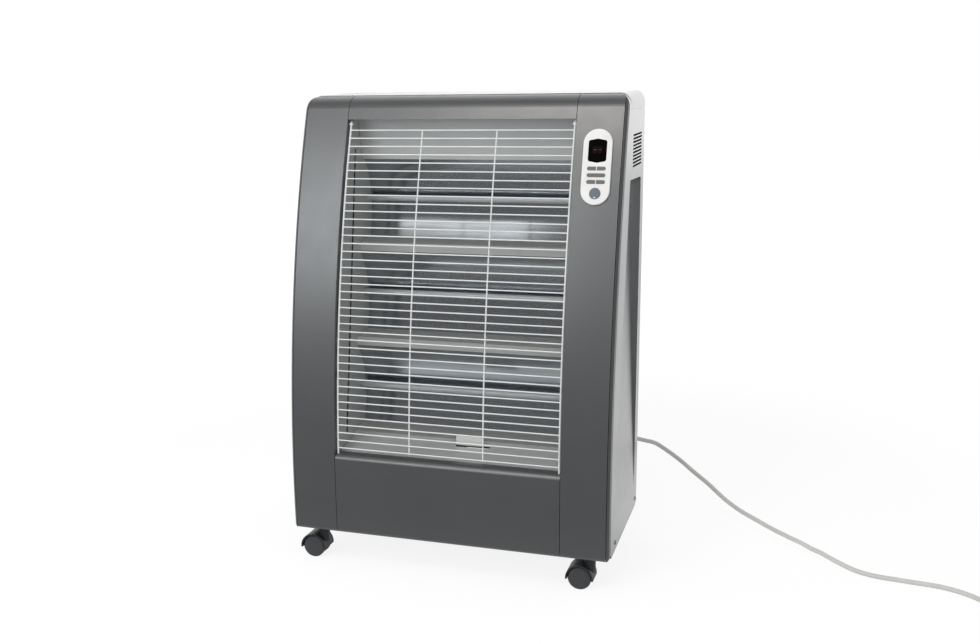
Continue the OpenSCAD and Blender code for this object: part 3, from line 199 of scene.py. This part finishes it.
def shade(colour, factor):
    """The colour, darkened by a factor."""
    return tuple(c * factor for c in colour[:3]) + (1,)


# ---------------------------------------------------------------- finishes

def satin_paint(name, level, blue=1.0, coat=1.0, metallic=0.5):
    """Graphite satin paint: fine flakes under a lacquer with a faint orange peel, and slow changes of tone."""
    s = Shader(name, Metallic=metallic, Coat_Weight=coat, Coat_Roughness=0.3)
    red, roughness = 0.97, 0.42
    slow = s.noise(6, 2)
    flake = s.noise(2600, 1)
    tone = s.mix(s.spread(slow), grey(level * 0.96, red, blue), grey(level * 1.04, red, blue))
    colour = s.mix(s.ramp(flake, 0.35, 0.75, 0, 0.22), tone, grey(level * 1.5, red, blue))
    rough = s.spread(s.noise(35, 3), roughness - 0.03, roughness + 0.04)
    peel = s.bump(s.noise(420, 2), 0.00003)
    return s.finish(Base_Color=colour, Roughness=rough, Normal=peel)


def moulded(name, colour, roughness=0.45, grain=900, depth=0.00002, specular=0.5):
    """Moulded plastic with a fine spark-eroded grain."""
    s = Shader(name, Specular_IOR_Level=specular)
    tone = s.mix(s.spread(s.noise(25, 3)), shade(colour, 0.9), colour)
    rough = s.spread(s.noise(60, 2), roughness - 0.04, roughness + 0.05)
    return s.finish(Base_Color=tone, Roughness=rough, Normal=s.bump(s.noise(grain, 3), depth))


def bare_metal(name, colour, roughness=0.3, stretch=(1, 1, 1), metallic=1.0):
    """Rolled or plated metal with fine lines, drawn out along the rolling where stretch says so."""
    s = Shader(name, Metallic=metallic)
    lines = s.noise(500, 4, 0.6, stretch)
    tone = s.mix(s.spread(lines), shade(colour, 0.88), colour)
    rough = s.spread(s.noise(30, 3), roughness - 0.04, roughness + 0.06)
    return s.finish(Base_Color=tone, Roughness=rough, Normal=s.bump(lines, 0.00002))


# Where the reflectors' folds lie: the pack of three troughs leans back from a foot behind the lower fascia.
PACK_LEAN = math.radians(8.5)
PACK_FOOT = (0, -45 * MM, 202 * MM)
TROUGH = 139.3 * MM
RIDGE = 14 * MM
LEDGE = 12 * MM
FOLD_ROUGHNESS = 0.55
FOLD_METALLIC = 0.35


def reflector_sheet(name):
    """Rolled aluminium: bright in the troughs, rougher satin on the folds and ledges between them, which are also
    painted lighter as a painted highlight.
    """
    s = Shader(name)
    here = s.add("ShaderNodeVectorMath", {"operation": "SUBTRACT"})
    s.put(here.inputs[0], s.place)
    here.inputs[1].default_value = PACK_FOOT
    apart = s.add("ShaderNodeSeparateXYZ", Vector=here.outputs[0])
    along = s.math("ADD", s.math("MULTIPLY", apart.outputs["Y"], math.sin(PACK_LEAN)),
                   s.math("MULTIPLY", apart.outputs["Z"], math.cos(PACK_LEAN)))
    phase = s.math("FLOORED_MODULO", s.math("ADD", along, RIDGE), TROUGH + RIDGE)
    fold_satin_and_highlight = s.math("LESS_THAN", phase, RIDGE + LEDGE)
    lines = s.noise(500, 4, 0.6, (0.02, 1, 1))
    slow = s.noise(9, 2)
    bright = s.mix(s.spread(lines), (0.50, 0.53, 0.57, 1), (0.60, 0.63, 0.67, 1))
    # Painted highlight: the folds and ledges get a lighter, less metallic colour than the troughs, standing in for
    # the strips of light along them; their higher roughness is the satin finish.
    satin = s.mix(s.spread(slow), (0.76, 0.77, 0.76, 1), (0.82, 0.83, 0.82, 1))
    rough = s.mix(fold_satin_and_highlight, s.spread(slow, 0.13, 0.2), FOLD_ROUGHNESS, "FLOAT")
    normal = s.bump(s.noise(30, 2, 0.5, (0.25, 1, 1)), 0.0002, under=s.bump(lines, 0.00001))
    return s.finish(Base_Color=s.mix(fold_satin_and_highlight, bright, satin), Metallic=s.mix(fold_satin_and_highlight, 1.0, FOLD_METALLIC, "FLOAT"),
                    Roughness=rough, Normal=normal)


def clear_glass(name):
    """Quartz tube, a little milky, with drawing streaks along it."""
    s = Shader(name, Roughness=0.12, IOR=1.46, Transmission_Weight=0.62)
    streaks = s.noise(260, 2, 0.5, (0.05, 1, 1))
    return s.finish(Base_Color=s.mix(streaks, (0.74, 0.77, 0.80, 1), (0.84, 0.87, 0.89, 1)),
                    Normal=s.bump(streaks, 0.00003))


def glazed(name, colour):
    """Glazed ceramic with small dark specks."""
    s = Shader(name, Roughness=0.3)
    specks = s.ramp(s.noise(1800, 2), 0.62, 0.7)
    tone = s.mix(specks, colour, shade(colour, 0.7))
    return s.finish(Base_Color=tone, Normal=s.bump(s.noise(300, 2), 0.00003))


FINISHES = {
    "graphite": lambda name: satin_paint(name, 0.119, blue=1.03),
    "lining": lambda name: satin_paint(name, 0.56, coat=0.3, metallic=0.2),
    "underside": lambda name: satin_paint(name, 0.06, coat=0.2, metallic=0.0),
    "guard": lambda name: moulded(name, (0.80, 0.82, 0.81, 1), 0.32, 500, 0.00002),
    "reflector": lambda name: reflector_sheet(name),
    "quartz": lambda name: clear_glass(name),
    "ceramic": lambda name: glazed(name, (0.80, 0.77, 0.70, 1)),
    "spring_steel": lambda name: bare_metal(name, (0.62, 0.63, 0.65, 1), 0.28),
    "panel_white": lambda name: moulded(name, (0.86, 0.86, 0.85, 1), 0.22, 700, 0.00001),
    "window": lambda name: moulded(name, (0.0022, 0.0016, 0.0018, 1), 0.08, 300, 0.000002, specular=0.1),
    "key_grey": lambda name: moulded(name, (0.13, 0.13, 0.13, 1), 0.38),
    "key_blue": lambda name: moulded(name, (0.12, 0.15, 0.18, 1), 0.35),
    "board": lambda name: moulded(name, (0.02, 0.11, 0.045, 1), 0.35),
    "fitting_black": lambda name: moulded(name, (0.022, 0.022, 0.024, 1), 0.42),
    "fitting_cream": lambda name: moulded(name, (0.66, 0.63, 0.55, 1), 0.42),
    "lead": lambda name: moulded(name, (0.50, 0.50, 0.46, 1), 0.5),
    "zinc": lambda name: bare_metal(name, (0.55, 0.56, 0.58, 1), 0.34),
    "cord": lambda name: moulded(name, (0.74, 0.74, 0.72, 1), 0.42, 500, 0.00004),
    "nickel": lambda name: bare_metal(name, (0.66, 0.62, 0.54, 1), 0.2),
    "hood": lambda name: moulded(name, (0.030, 0.032, 0.035, 1), 0.42, 700, 0.00003),
    "wheel": lambda name: moulded(name, (0.055, 0.058, 0.064, 1), 0.48, 700, 0.00003),
    "tungsten": lambda name: bare_metal(name, (0.30, 0.29, 0.28, 1), 0.45),
    "clip_bright": lambda name: bare_metal(name, (0.90, 0.90, 0.88, 1), 0.6, (0.05, 1, 1), metallic=0.25),
    "dot_white": lambda name: moulded(name, (0.82, 0.82, 0.80, 1), 0.25, 500, 0.000005),
    "unlit": lambda name: moulded(name, (0.016, 0.006, 0.006, 1), 0.12, 300, 0.000002),
    "lit": lambda name: moulded(name, (0.16, 0.012, 0.014, 1), 0.2, 300, 0.000002),
}

NODE_FINISH = {
    "graphite": ["left_pillar", "right_pillar", "edge_trims", "top_fascia", "bottom_fascia", "side_panel_left",
                 "side_panel_right", "lid", "back_panel"],
    "underside": ["base_plate"],
    "lining": ["side_liners", "top_deflector", "floor_tray"],
    "guard": ["wire_guard"],
    "reflector": ["reflector_upper", "reflector_middle", "reflector_lower"],
    "quartz": ["lamp_upper", "lamp_middle", "lamp_lower"],
    "tungsten": ["lamp_filaments"],
    "ceramic": ["lamp_ceramics"],
    "spring_steel": ["lamp_clips"],
    "panel_white": ["control_bezel"],
    "window": ["display_window"],
    "key_grey": ["upper_left_button", "upper_right_button", "wide_button", "lower_left_button",
                 "lower_right_button"],
    "key_blue": ["round_button"],
    "board": ["control_board", "power_board"],
    "fitting_black": ["display_module", "thermal_cutout", "tip_switch"],
    "fitting_cream": ["terminal_block"],
    "lead": ["wire_harness"],
    "zinc": ["cabinet_screws"],
    "cord": ["strain_relief", "cord_run", "cord_coil", "plug_body"],
    "nickel": ["plug_pins"],
}
CASTORS = ("fl", "fr", "rl", "rr")


def dress(obj, material):
    obj.data.materials.clear()
    obj.data.materials.append(material)


def dress_nodes(finish):
    """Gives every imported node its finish."""
    for kind, names in NODE_FINISH.items():
        for name in names:
            dress(nodes[name], finish[kind])
    for c in CASTORS:
        dress(nodes[f"castor_{c}_hood"], finish["hood"])
        dress(nodes[f"castor_{c}_pins"], finish["zinc"])
        for side in "ab":
            dress(nodes[f"castor_{c}_wheel_{side}"], finish["wheel"])


# ---------------------------------------------------------------- the cord, in millimetres and degrees

CORD_D = 7.5
CORD_RUN = [
    (190, 164, 153), (190.1, 172.7, 153.1), (191.1, 183.3, 152.2), (197.2, 202, 149.3),
    (206.2, 219.6, 145.4), (219.3, 234.3, 140.6), (233.3, 245.9, 134.7), (250.3, 255.6, 128.8),
    (268.4, 263.2, 122.9), (285.4, 264.8, 113), (302.4, 264.5, 102.2), (319.4, 261.1, 91.3),
    (335.4, 255.8, 80.5), (352.4, 248.5, 70.6), (368.4, 240.1, 61.8), (383.3, 229.8, 52.9),
    (398.3, 218.5, 45.1), (413.3, 207.2, 39.2), (429.3, 194.9, 34.4), (446.2, 183.6, 30.5),
    (462.2, 171.3, 27.6), (478.1, 159, 24.8), (494, 146.7, 22.9), (510, 134.5, 21.1), (526.9, 123.2, 19.2),
    (542.8, 110.9, 16.4), (559.7, 99.7, 14.5), (576.6, 88.4, 10.7), (592.5, 78.1, 7.8), (610.4, 68.9, 5),
    (629.3, 61.9, 4), (649.2, 56.9, 4), (669.1, 54.9, 4), (688.9, 52, 4), (708.8, 50, 4), (728.7, 47, 4),
    (747.6, 40, 4), (765.5, 30.1, 4), (780.4, 17.2, 4), (792.4, 7.2, 4),
]
COIL_C = Vector((851, 23, 0))
COIL_START = 232
COIL_R = 49
COIL_TURNS = 4
COIL_STEPS = 24
COIL_PITCH = 8.2
COIL_Z = 4
COIL_CLIMB = 0.5
COIL_LEAD_IN = (-21.5, -7.5, -1)
COIL_TAIL = 44
TAIL_POINTS = 5
TAIL_RISE = 0.8
PLUG_Z = 18.7


def ease(t):
    """0 to 1, slow at both ends."""
    t = min(max(t, 0), 1)
    return 3 * t * t - 2 * t * t * t


def coil_at(t):
    """A point of the coil after t turns: it spirals in for half of them, climbs a layer and spirals out."""
    radius = COIL_R - COIL_PITCH * (t if t < COIL_TURNS / 2 else COIL_TURNS - t)
    angle = math.radians(COIL_START + 360 * t)
    height = COIL_Z + COIL_PITCH * ease((t - (COIL_TURNS / 2 - COIL_CLIMB / 2)) / COIL_CLIMB)
    return COIL_C + Vector((radius * math.cos(angle), radius * math.sin(angle), height))


def coil_points():
    """The coil with the straight that leads into it and the tail that rises to the plug."""
    start = math.radians(COIL_START)
    along = Vector((-math.sin(start), math.cos(start), 0))
    entry = COIL_C + COIL_R * Vector((math.cos(start), math.sin(start), 0))
    lead_in = [entry + along * d + Vector((0, 0, COIL_Z)) for d in COIL_LEAD_IN]
    loops = [coil_at(i / COIL_STEPS) for i in range(1, COIL_TURNS * COIL_STEPS + 1)]
    top = COIL_Z + COIL_PITCH
    tail = [entry + along * COIL_TAIL * s + Vector((0, 0, top + (PLUG_Z - top) * ease(s / TAIL_RISE)))
            for s in (i / TAIL_POINTS for i in range(1, TAIL_POINTS + 1))]
    return lead_in + loops + tail


def smooth_line(points, steps=4):
    """Points along a Catmull-Rom curve through the given points."""
    line = []
    ends = [2 * points[0] - points[1]] + points + [2 * points[-1] - points[-2]]
    for a, b, c, d in zip(ends, ends[1:], ends[2:], ends[3:]):
        for i in range(steps):
            t = i / steps
            line.append(0.5 * (2 * b + (c - a) * t + (2 * a - 5 * b + 4 * c - d) * t * t
                               + (3 * b - a - 3 * c + d) * t * t * t))
    return line + [points[-1]]


def curve_object(name, lines, radius, sides=3):
    """A round wire of the given radius along each of the lines."""
    data = bpy.data.curves.new(name, "CURVE")
    data.dimensions = "3D"
    data.bevel_depth = radius
    data.bevel_resolution = sides
    data.use_fill_caps = True
    for points in lines:
        spline = data.splines.new("POLY")
        spline.points.add(len(points) - 1)
        for target, point in zip(spline.points, points):
            target.co = (*point, 1)
        spline.use_smooth = True
    return add_object(name, data)


def make_cord(finish):
    """The mains cord: from the strain relief, down to the floor, past the view's edge and into its coil and plug."""
    points = [Vector(p) for p in CORD_RUN] + coil_points()
    line = smooth_line([p * MM for p in points])
    cord = curve_object("mains_cord", [line], CORD_D / 2 * MM, 4)
    place_piece(cord, finish["cord"])
    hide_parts("cord_run", "cord_coil")


# ---------------------------------------------------------------- lamp coils

COIL_WIRE = 0.22 * MM
SUPPORT_WIRE = 0.2 * MM
FILAMENT_R = 1.25 * MM
FILAMENT_PITCH = 1.5 * MM
FILAMENT_LEG = 5 * MM
HELIX_STEPS = 10
LAMP_PINCH = 14 * MM
SUPPORT_EVERY = 32 * MM
SUPPORT_R = 3.6 * MM
SUPPORT_PITCH = 0.5 * MM
RING_POINTS = 26
RING_STEP = 30
RING_ROUND = 12  # points before the ring winds in
RING_WIND_IN = 14
RING_PITCH_POINTS = 18


def on_circle(x, middle, radius, angle):
    return Vector((x, middle.y + radius * math.cos(angle), middle.z + radius * math.sin(angle)))


def support_ring(x, middle):
    """A ring at the tube's wall that winds in to hold the filament."""
    points = []
    for i in range(RING_POINTS):
        radius = SUPPORT_R - max(0, i - RING_ROUND) / RING_WIND_IN * (SUPPORT_R - FILAMENT_R)
        points.append(on_circle(x + SUPPORT_PITCH * i / RING_PITCH_POINTS, middle, radius,
                                math.radians(RING_STEP * i)))
    return points


def make_lamp_coils(finish):
    """The wound tungsten filament of each lamp, with the ring supports that centre it in its tube."""
    coils, rings = [], []
    for lamp in ("lamp_lower", "lamp_middle", "lamp_upper"):
        low, high = (Vector(corner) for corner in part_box(lamp))
        middle = (low + high) / 2
        start, end = low.x + LAMP_PINCH, high.x - LAMP_PINCH
        count = round((end - start) / FILAMENT_PITCH) * HELIX_STEPS
        helix = [Vector((start - FILAMENT_LEG, middle.y, middle.z))]
        helix += [on_circle(start + (end - start) * i / count, middle, FILAMENT_R, 2 * math.pi * i / HELIX_STEPS)
                  for i in range(count + 1)]
        coils.append(helix + [Vector((end + FILAMENT_LEG, middle.y, middle.z))])
        rings += [support_ring(start + k * SUPPORT_EVERY, middle)
                  for k in range(1, int((end - start) / SUPPORT_EVERY) + 1)]
    wound = curve_object("lamp_coils", coils, COIL_WIRE, 1)
    place_piece(wound, finish["tungsten"])
    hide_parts("lamp_filaments")
    place_piece(curve_object("coil_supports", rings, SUPPORT_WIRE, 1), finish["tungsten"])


# ---------------------------------------------------------------- display

DIGIT_H = 8.0 * MM
DIGIT_W = 4.6 * MM
DIGIT_LEAN = 0.12
DIGIT_PLACES = ((-3.6 * MM, 1.5 * MM), (3.6 * MM, 1.5 * MM))
BAR = 0.9 * MM
DOT = (0, -8.5 * MM, 0.6 * MM, 16)  # the display's dot; the round button's white dot further down: across, up, radius, sides
MARK_T = 0.04 * MM
# A small white disc low on the round button.
WHITE_DOT = (0, -6 * MM, 1.1 * MM, 24)
WHITE_DOT_T = 0.12 * MM
SEGMENTS = {  # middle of each bar in half widths and half heights, and whether it lies flat
    "top": (0, 1, True), "middle": (0, 0, True), "bottom": (0, -1, True), "left_up": (-1, 0.5, False),
    "right_up": (1, 0.5, False), "left_low": (-1, -0.5, False), "right_low": (1, -0.5, False),
}


def face_frame(name):
    """The middle of a panel part's front face, with the directions across it, up it and out of it."""
    joint = next(j for j in frame["record"]["behaviour"]["joints"] if j["name"] == "round_button_press")
    out = -Vector(joint["axis"]).normalized()
    across = Vector((1, 0, 0))
    up = out.cross(across)
    points = [nodes[name].matrix_world @ v.co for v in nodes[name].data.vertices]
    spans = [[p.dot(axis) for p in points] for axis in (across, up)]
    middle = [(min(span) + max(span)) / 2 for span in spans]
    face = max(p.dot(out) for p in points)
    return across * middle[0] + up * middle[1] + out * face, across, up, out


def mark_piece(name, shapes, face, thick, material, body):
    """Thin printed shapes on a face: each shape is an outline of (across, up) points."""
    origin, across, up, out = face
    bm = bmesh.new()
    for outline in shapes:
        low, high = ([bm.verts.new(origin + across * x + up * y + out * rise) for x, y in outline]
                     for rise in (-thick, thick))
        close_prism(bm, low, high)
    bm.normal_update()
    place_piece(add_mesh(name, bm), material, body)


def disc_outline(x, y, radius, sides):
    return [(x + radius * math.cos(a), y + radius * math.sin(a))
            for a in (2 * math.pi * i / sides for i in range(sides))]


def segment_outline(kind, digit_x, digit_y):
    """One bar of a figure, pointed at both ends and leaning with the figure."""
    sx, sy, flat = SEGMENTS[kind]
    half = (DIGIT_W if flat else DIGIT_H / 2) / 2 - BAR * 0.6
    t = BAR / 2
    bar = [(-half, -t), (half, -t), (half + t, 0), (half, t), (-half, t), (-half - t, 0)]
    if not flat:
        bar = [(-y, x) for x, y in bar]
    cx, cy = sx * DIGIT_W / 2, sy * DIGIT_H / 2
    return [(digit_x + cx + x + DIGIT_LEAN * (cy + y), digit_y + cy + y) for x, y in bar]


def make_display(finish):
    """Two figures in the black window, only their middle bars dim red, and a small white dot low on the round
    button.
    """
    face = face_frame("display_window")
    unlit = [segment_outline(kind, x, y) for x, y in DIGIT_PLACES for kind in SEGMENTS if kind != "middle"]
    lit = [segment_outline("middle", x, y) for x, y in DIGIT_PLACES]
    mark_piece("display_unlit", unlit + [disc_outline(*DOT)], face, MARK_T, finish["unlit"],
               "cabinet")
    mark_piece("display_lit", lit, face, MARK_T, finish["lit"], "cabinet")
    mark_piece("button_white_dot", [disc_outline(*WHITE_DOT)], face_frame("round_button"), WHITE_DOT_T, finish["dot_white"],
               "round_button_body")


# ---------------------------------------------------------------- tray tab

TAB_X = (-4.4 * MM, 38.4 * MM)
TAB_H = 14 * MM
TAB_SUNK = 9 * MM
TAB_OVER = 0.35 * MM
TAB_DEEP = 1.7 * MM
TAB_BEHIND = 3.0 * MM
TAB_CORNER = 1.6 * MM
TAB_EDGE = 0.2 * MM
CORNER_STEPS = 6


def make_tray_tab(finish):
    """The bright clip on the floor tray's raised tab, with rounded upper corners."""
    _, high = (Vector(corner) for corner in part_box("floor_tray"))
    foot, back = high.z - TAB_SUNK, high.y - TAB_BEHIND + TAB_OVER
    left, right = TAB_X
    outline = [(left, foot), (right, foot)]
    for centre, start in ((right - TAB_CORNER, 0), (left + TAB_CORNER, 90)):
        for step in range(CORNER_STEPS + 1):
            angle = math.radians(start + 90 / CORNER_STEPS * step)
            outline.append((centre + TAB_CORNER * math.cos(angle),
                            foot + TAB_H - TAB_CORNER + TAB_CORNER * math.sin(angle)))
    bm = bmesh.new()
    front, rear = ([bm.verts.new((x, y, z)) for x, z in outline] for y in (back - TAB_DEEP, back))
    close_prism(bm, rear, front)
    bmesh.ops.recalc_face_normals(bm, faces=bm.faces)
    rims = [e for e in bm.edges if len({round(v.co.y, 6) for v in e.verts}) == 1]
    bmesh.ops.bevel(bm, geom=rims, offset=TAB_EDGE, segments=2, affect="EDGES")
    place_piece(add_mesh("tray_tab_clip", bm), finish["clip_bright"])


# ---------------------------------------------------------------- stage and light

FLOOR_REACH = 14
FLOOR_GLOW = 0.80  # share of the floor's look that is glow and not lit surface
FLOOR_SEEN = (1.08, 1.24)  # the glow near the heater and far from it
FLOOR_FADE = (0.9, 3)
MIRRORED_FADE = (-0.3, 0.2)
DARK_STUDIO = 0.16
BRIGHT_BACK = 0.8
DIFFUSE_SKY = 0.55
WORLD_BANDS = ((0.0, 0.45, DARK_STUDIO, 1.0), (0.75, 0.97, 0.0, BRIGHT_BACK))  # y from, y to, levels


def make_stage():
    """A white floor that keeps a faint shadow; in polished surfaces it darkens towards the studio's dark front."""
    mesh = bpy.data.meshes.new("floor")
    corners = [(x * FLOOR_REACH, y * FLOOR_REACH, 0) for x, y in ((-1, -1), (1, -1), (1, 1), (-1, 1))]
    mesh.from_pydata(corners, [], [(0, 1, 2, 3)])
    floor = add_object("floor", mesh)
    s = Shader("floor_white", Roughness=0.8, Specular_IOR_Level=0.0)
    s.finish(Base_Color=s.mix(s.noise(3, 2), grey(0.90), grey(0.94)))
    surface = s.base.outputs[0]
    path = s.add("ShaderNodeLightPath").outputs
    depth = s.add("ShaderNodeSeparateXYZ", Vector=s.place).outputs["Y"]
    away = s.add("ShaderNodeVectorMath", {"operation": "LENGTH"})
    s.put(away.inputs[0], s.place)
    seen = s.blend(FLOOR_GLOW, surface, s.glow(s.ramp(away.outputs["Value"], *FLOOR_FADE, *FLOOR_SEEN)))
    mirrored = s.glow(s.ramp(depth, *MIRRORED_FADE, DARK_STUDIO, 1.0))
    by_camera = s.blend(s.math("MAXIMUM", path["Is Camera Ray"], path["Is Transmission Ray"]), surface, seen)
    s.put(s.output.inputs["Surface"], s.blend(path["Is Glossy Ray"], by_camera, mirrored))
    mesh.materials.append(s.material)


def make_world():
    """White to the eye and behind the heater, dark towards the studio in front of it and over it."""
    world = bpy.data.worlds.new("surround")
    bpy.context.scene.world = world
    world.use_nodes = True
    tree = world.node_tree
    links = tree.links

    def background(level):
        node = tree.nodes.new("ShaderNodeBackground")
        node.inputs["Color"].default_value = WHITE
        if isinstance(level, bpy.types.NodeSocket):
            links.new(level, node.inputs["Strength"])
        else:
            node.inputs["Strength"].default_value = level
        return node.outputs[0]

    def choose(factor, otherwise, when):
        node = tree.nodes.new("ShaderNodeMixShader")
        links.new(factor, node.inputs[0])
        links.new(otherwise, node.inputs[1])
        links.new(when, node.inputs[2])
        return node.outputs[0]

    path = tree.nodes.new("ShaderNodeLightPath")
    place = tree.nodes.new("ShaderNodeTexCoord")
    split = tree.nodes.new("ShaderNodeSeparateXYZ")
    links.new(place.outputs["Generated"], split.inputs[0])
    bands = []
    for start, end, low, high in WORLD_BANDS:
        band = tree.nodes.new("ShaderNodeMapRange")
        band.interpolation_type = "SMOOTHSTEP"
        for socket, number in (("From Min", start), ("From Max", end), ("To Min", low), ("To Max", high)):
            band.inputs[socket].default_value = number
        links.new(split.outputs["Y"], band.inputs["Value"])
        bands.append(band.outputs[0])
    level = tree.nodes.new("ShaderNodeMath")
    level.operation = "ADD"
    links.new(bands[0], level.inputs[0])
    links.new(bands[1], level.inputs[1])
    either = tree.nodes.new("ShaderNodeMath")
    either.operation = "MAXIMUM"
    links.new(path.outputs["Is Camera Ray"], either.inputs[0])
    links.new(path.outputs["Is Transmission Ray"], either.inputs[1])
    lighting = choose(path.outputs["Is Glossy Ray"], background(DIFFUSE_SKY), background(level.outputs[0]))
    links.new(choose(either.outputs[0], lighting, background(1.0)), tree.nodes["World Output"].inputs[0])


LIT_POINT = Vector((0, 0, 0.4))
LIGHT_REACH = 2.2
REFLECTORS = ("reflector_upper", "reflector_middle", "reflector_lower")


def soft_light(name, aim, size, power, colour, spare=(), only=()):
    """A softbox that faces the heater. Its aim is two angles: from the front to the right, and from the floor.

    It lights everything but the spared nodes, or, where some are named as only, just those."""
    data = bpy.data.lights.new(name, "AREA")
    data.shape = "RECTANGLE"
    data.size, data.size_y = size
    data.energy = power
    data.color = colour
    lamp = add_object(name, data)
    azimuth, rise = (math.radians(angle) for angle in aim)
    towards = Vector((math.sin(azimuth) * math.cos(rise), -math.cos(azimuth) * math.cos(rise), math.sin(rise)))
    lamp.location = LIT_POINT + towards * LIGHT_REACH
    lamp.rotation_euler = (-towards).to_track_quat("-Z", "Y").to_euler()
    if spare or only:
        lit = bpy.data.collections.new(name + "_lights")
        for node in spare or only:
            lit.objects.link(nodes[node])
        for entry in lit.collection_objects:
            entry.light_linking.link_state = "EXCLUDE" if spare else "INCLUDE"
        lamp.light_linking.receiver_collection = lit


def make_lights():
    """Two softboxes, a window for the upper reflector's bright strip and a fill for the right side panel."""
    soft_light("left_softbox", (-24, 21), (1.1, 0.94), 13, (0.94, 0.98, 1.0), spare=REFLECTORS)
    soft_light("left_window", (-29.5, 23.5), (1.25, 0.36), 1.65, (1.0, 1.0, 0.97), only=("reflector_upper",))
    soft_light("high_softbox", (-5, 48), (0.9, 0.5), 12, (1.0, 0.95, 0.90), spare=REFLECTORS)
    soft_light("right_fill", (35, 15), (1.0, 1.0), 26, WHITE[:3], only=("side_panel_right",))


# ---------------------------------------------------------------- the scene

make_camera()
finishes = {name: make(name) for name, make in FINISHES.items()}
dress_nodes(finishes)
make_cord(finishes)
make_lamp_coils(finishes)
make_display(finishes)
make_tray_tab(finishes)
make_stage()
make_world()
make_lights()

bpy.context.scene.view_settings.view_transform = "Standard"
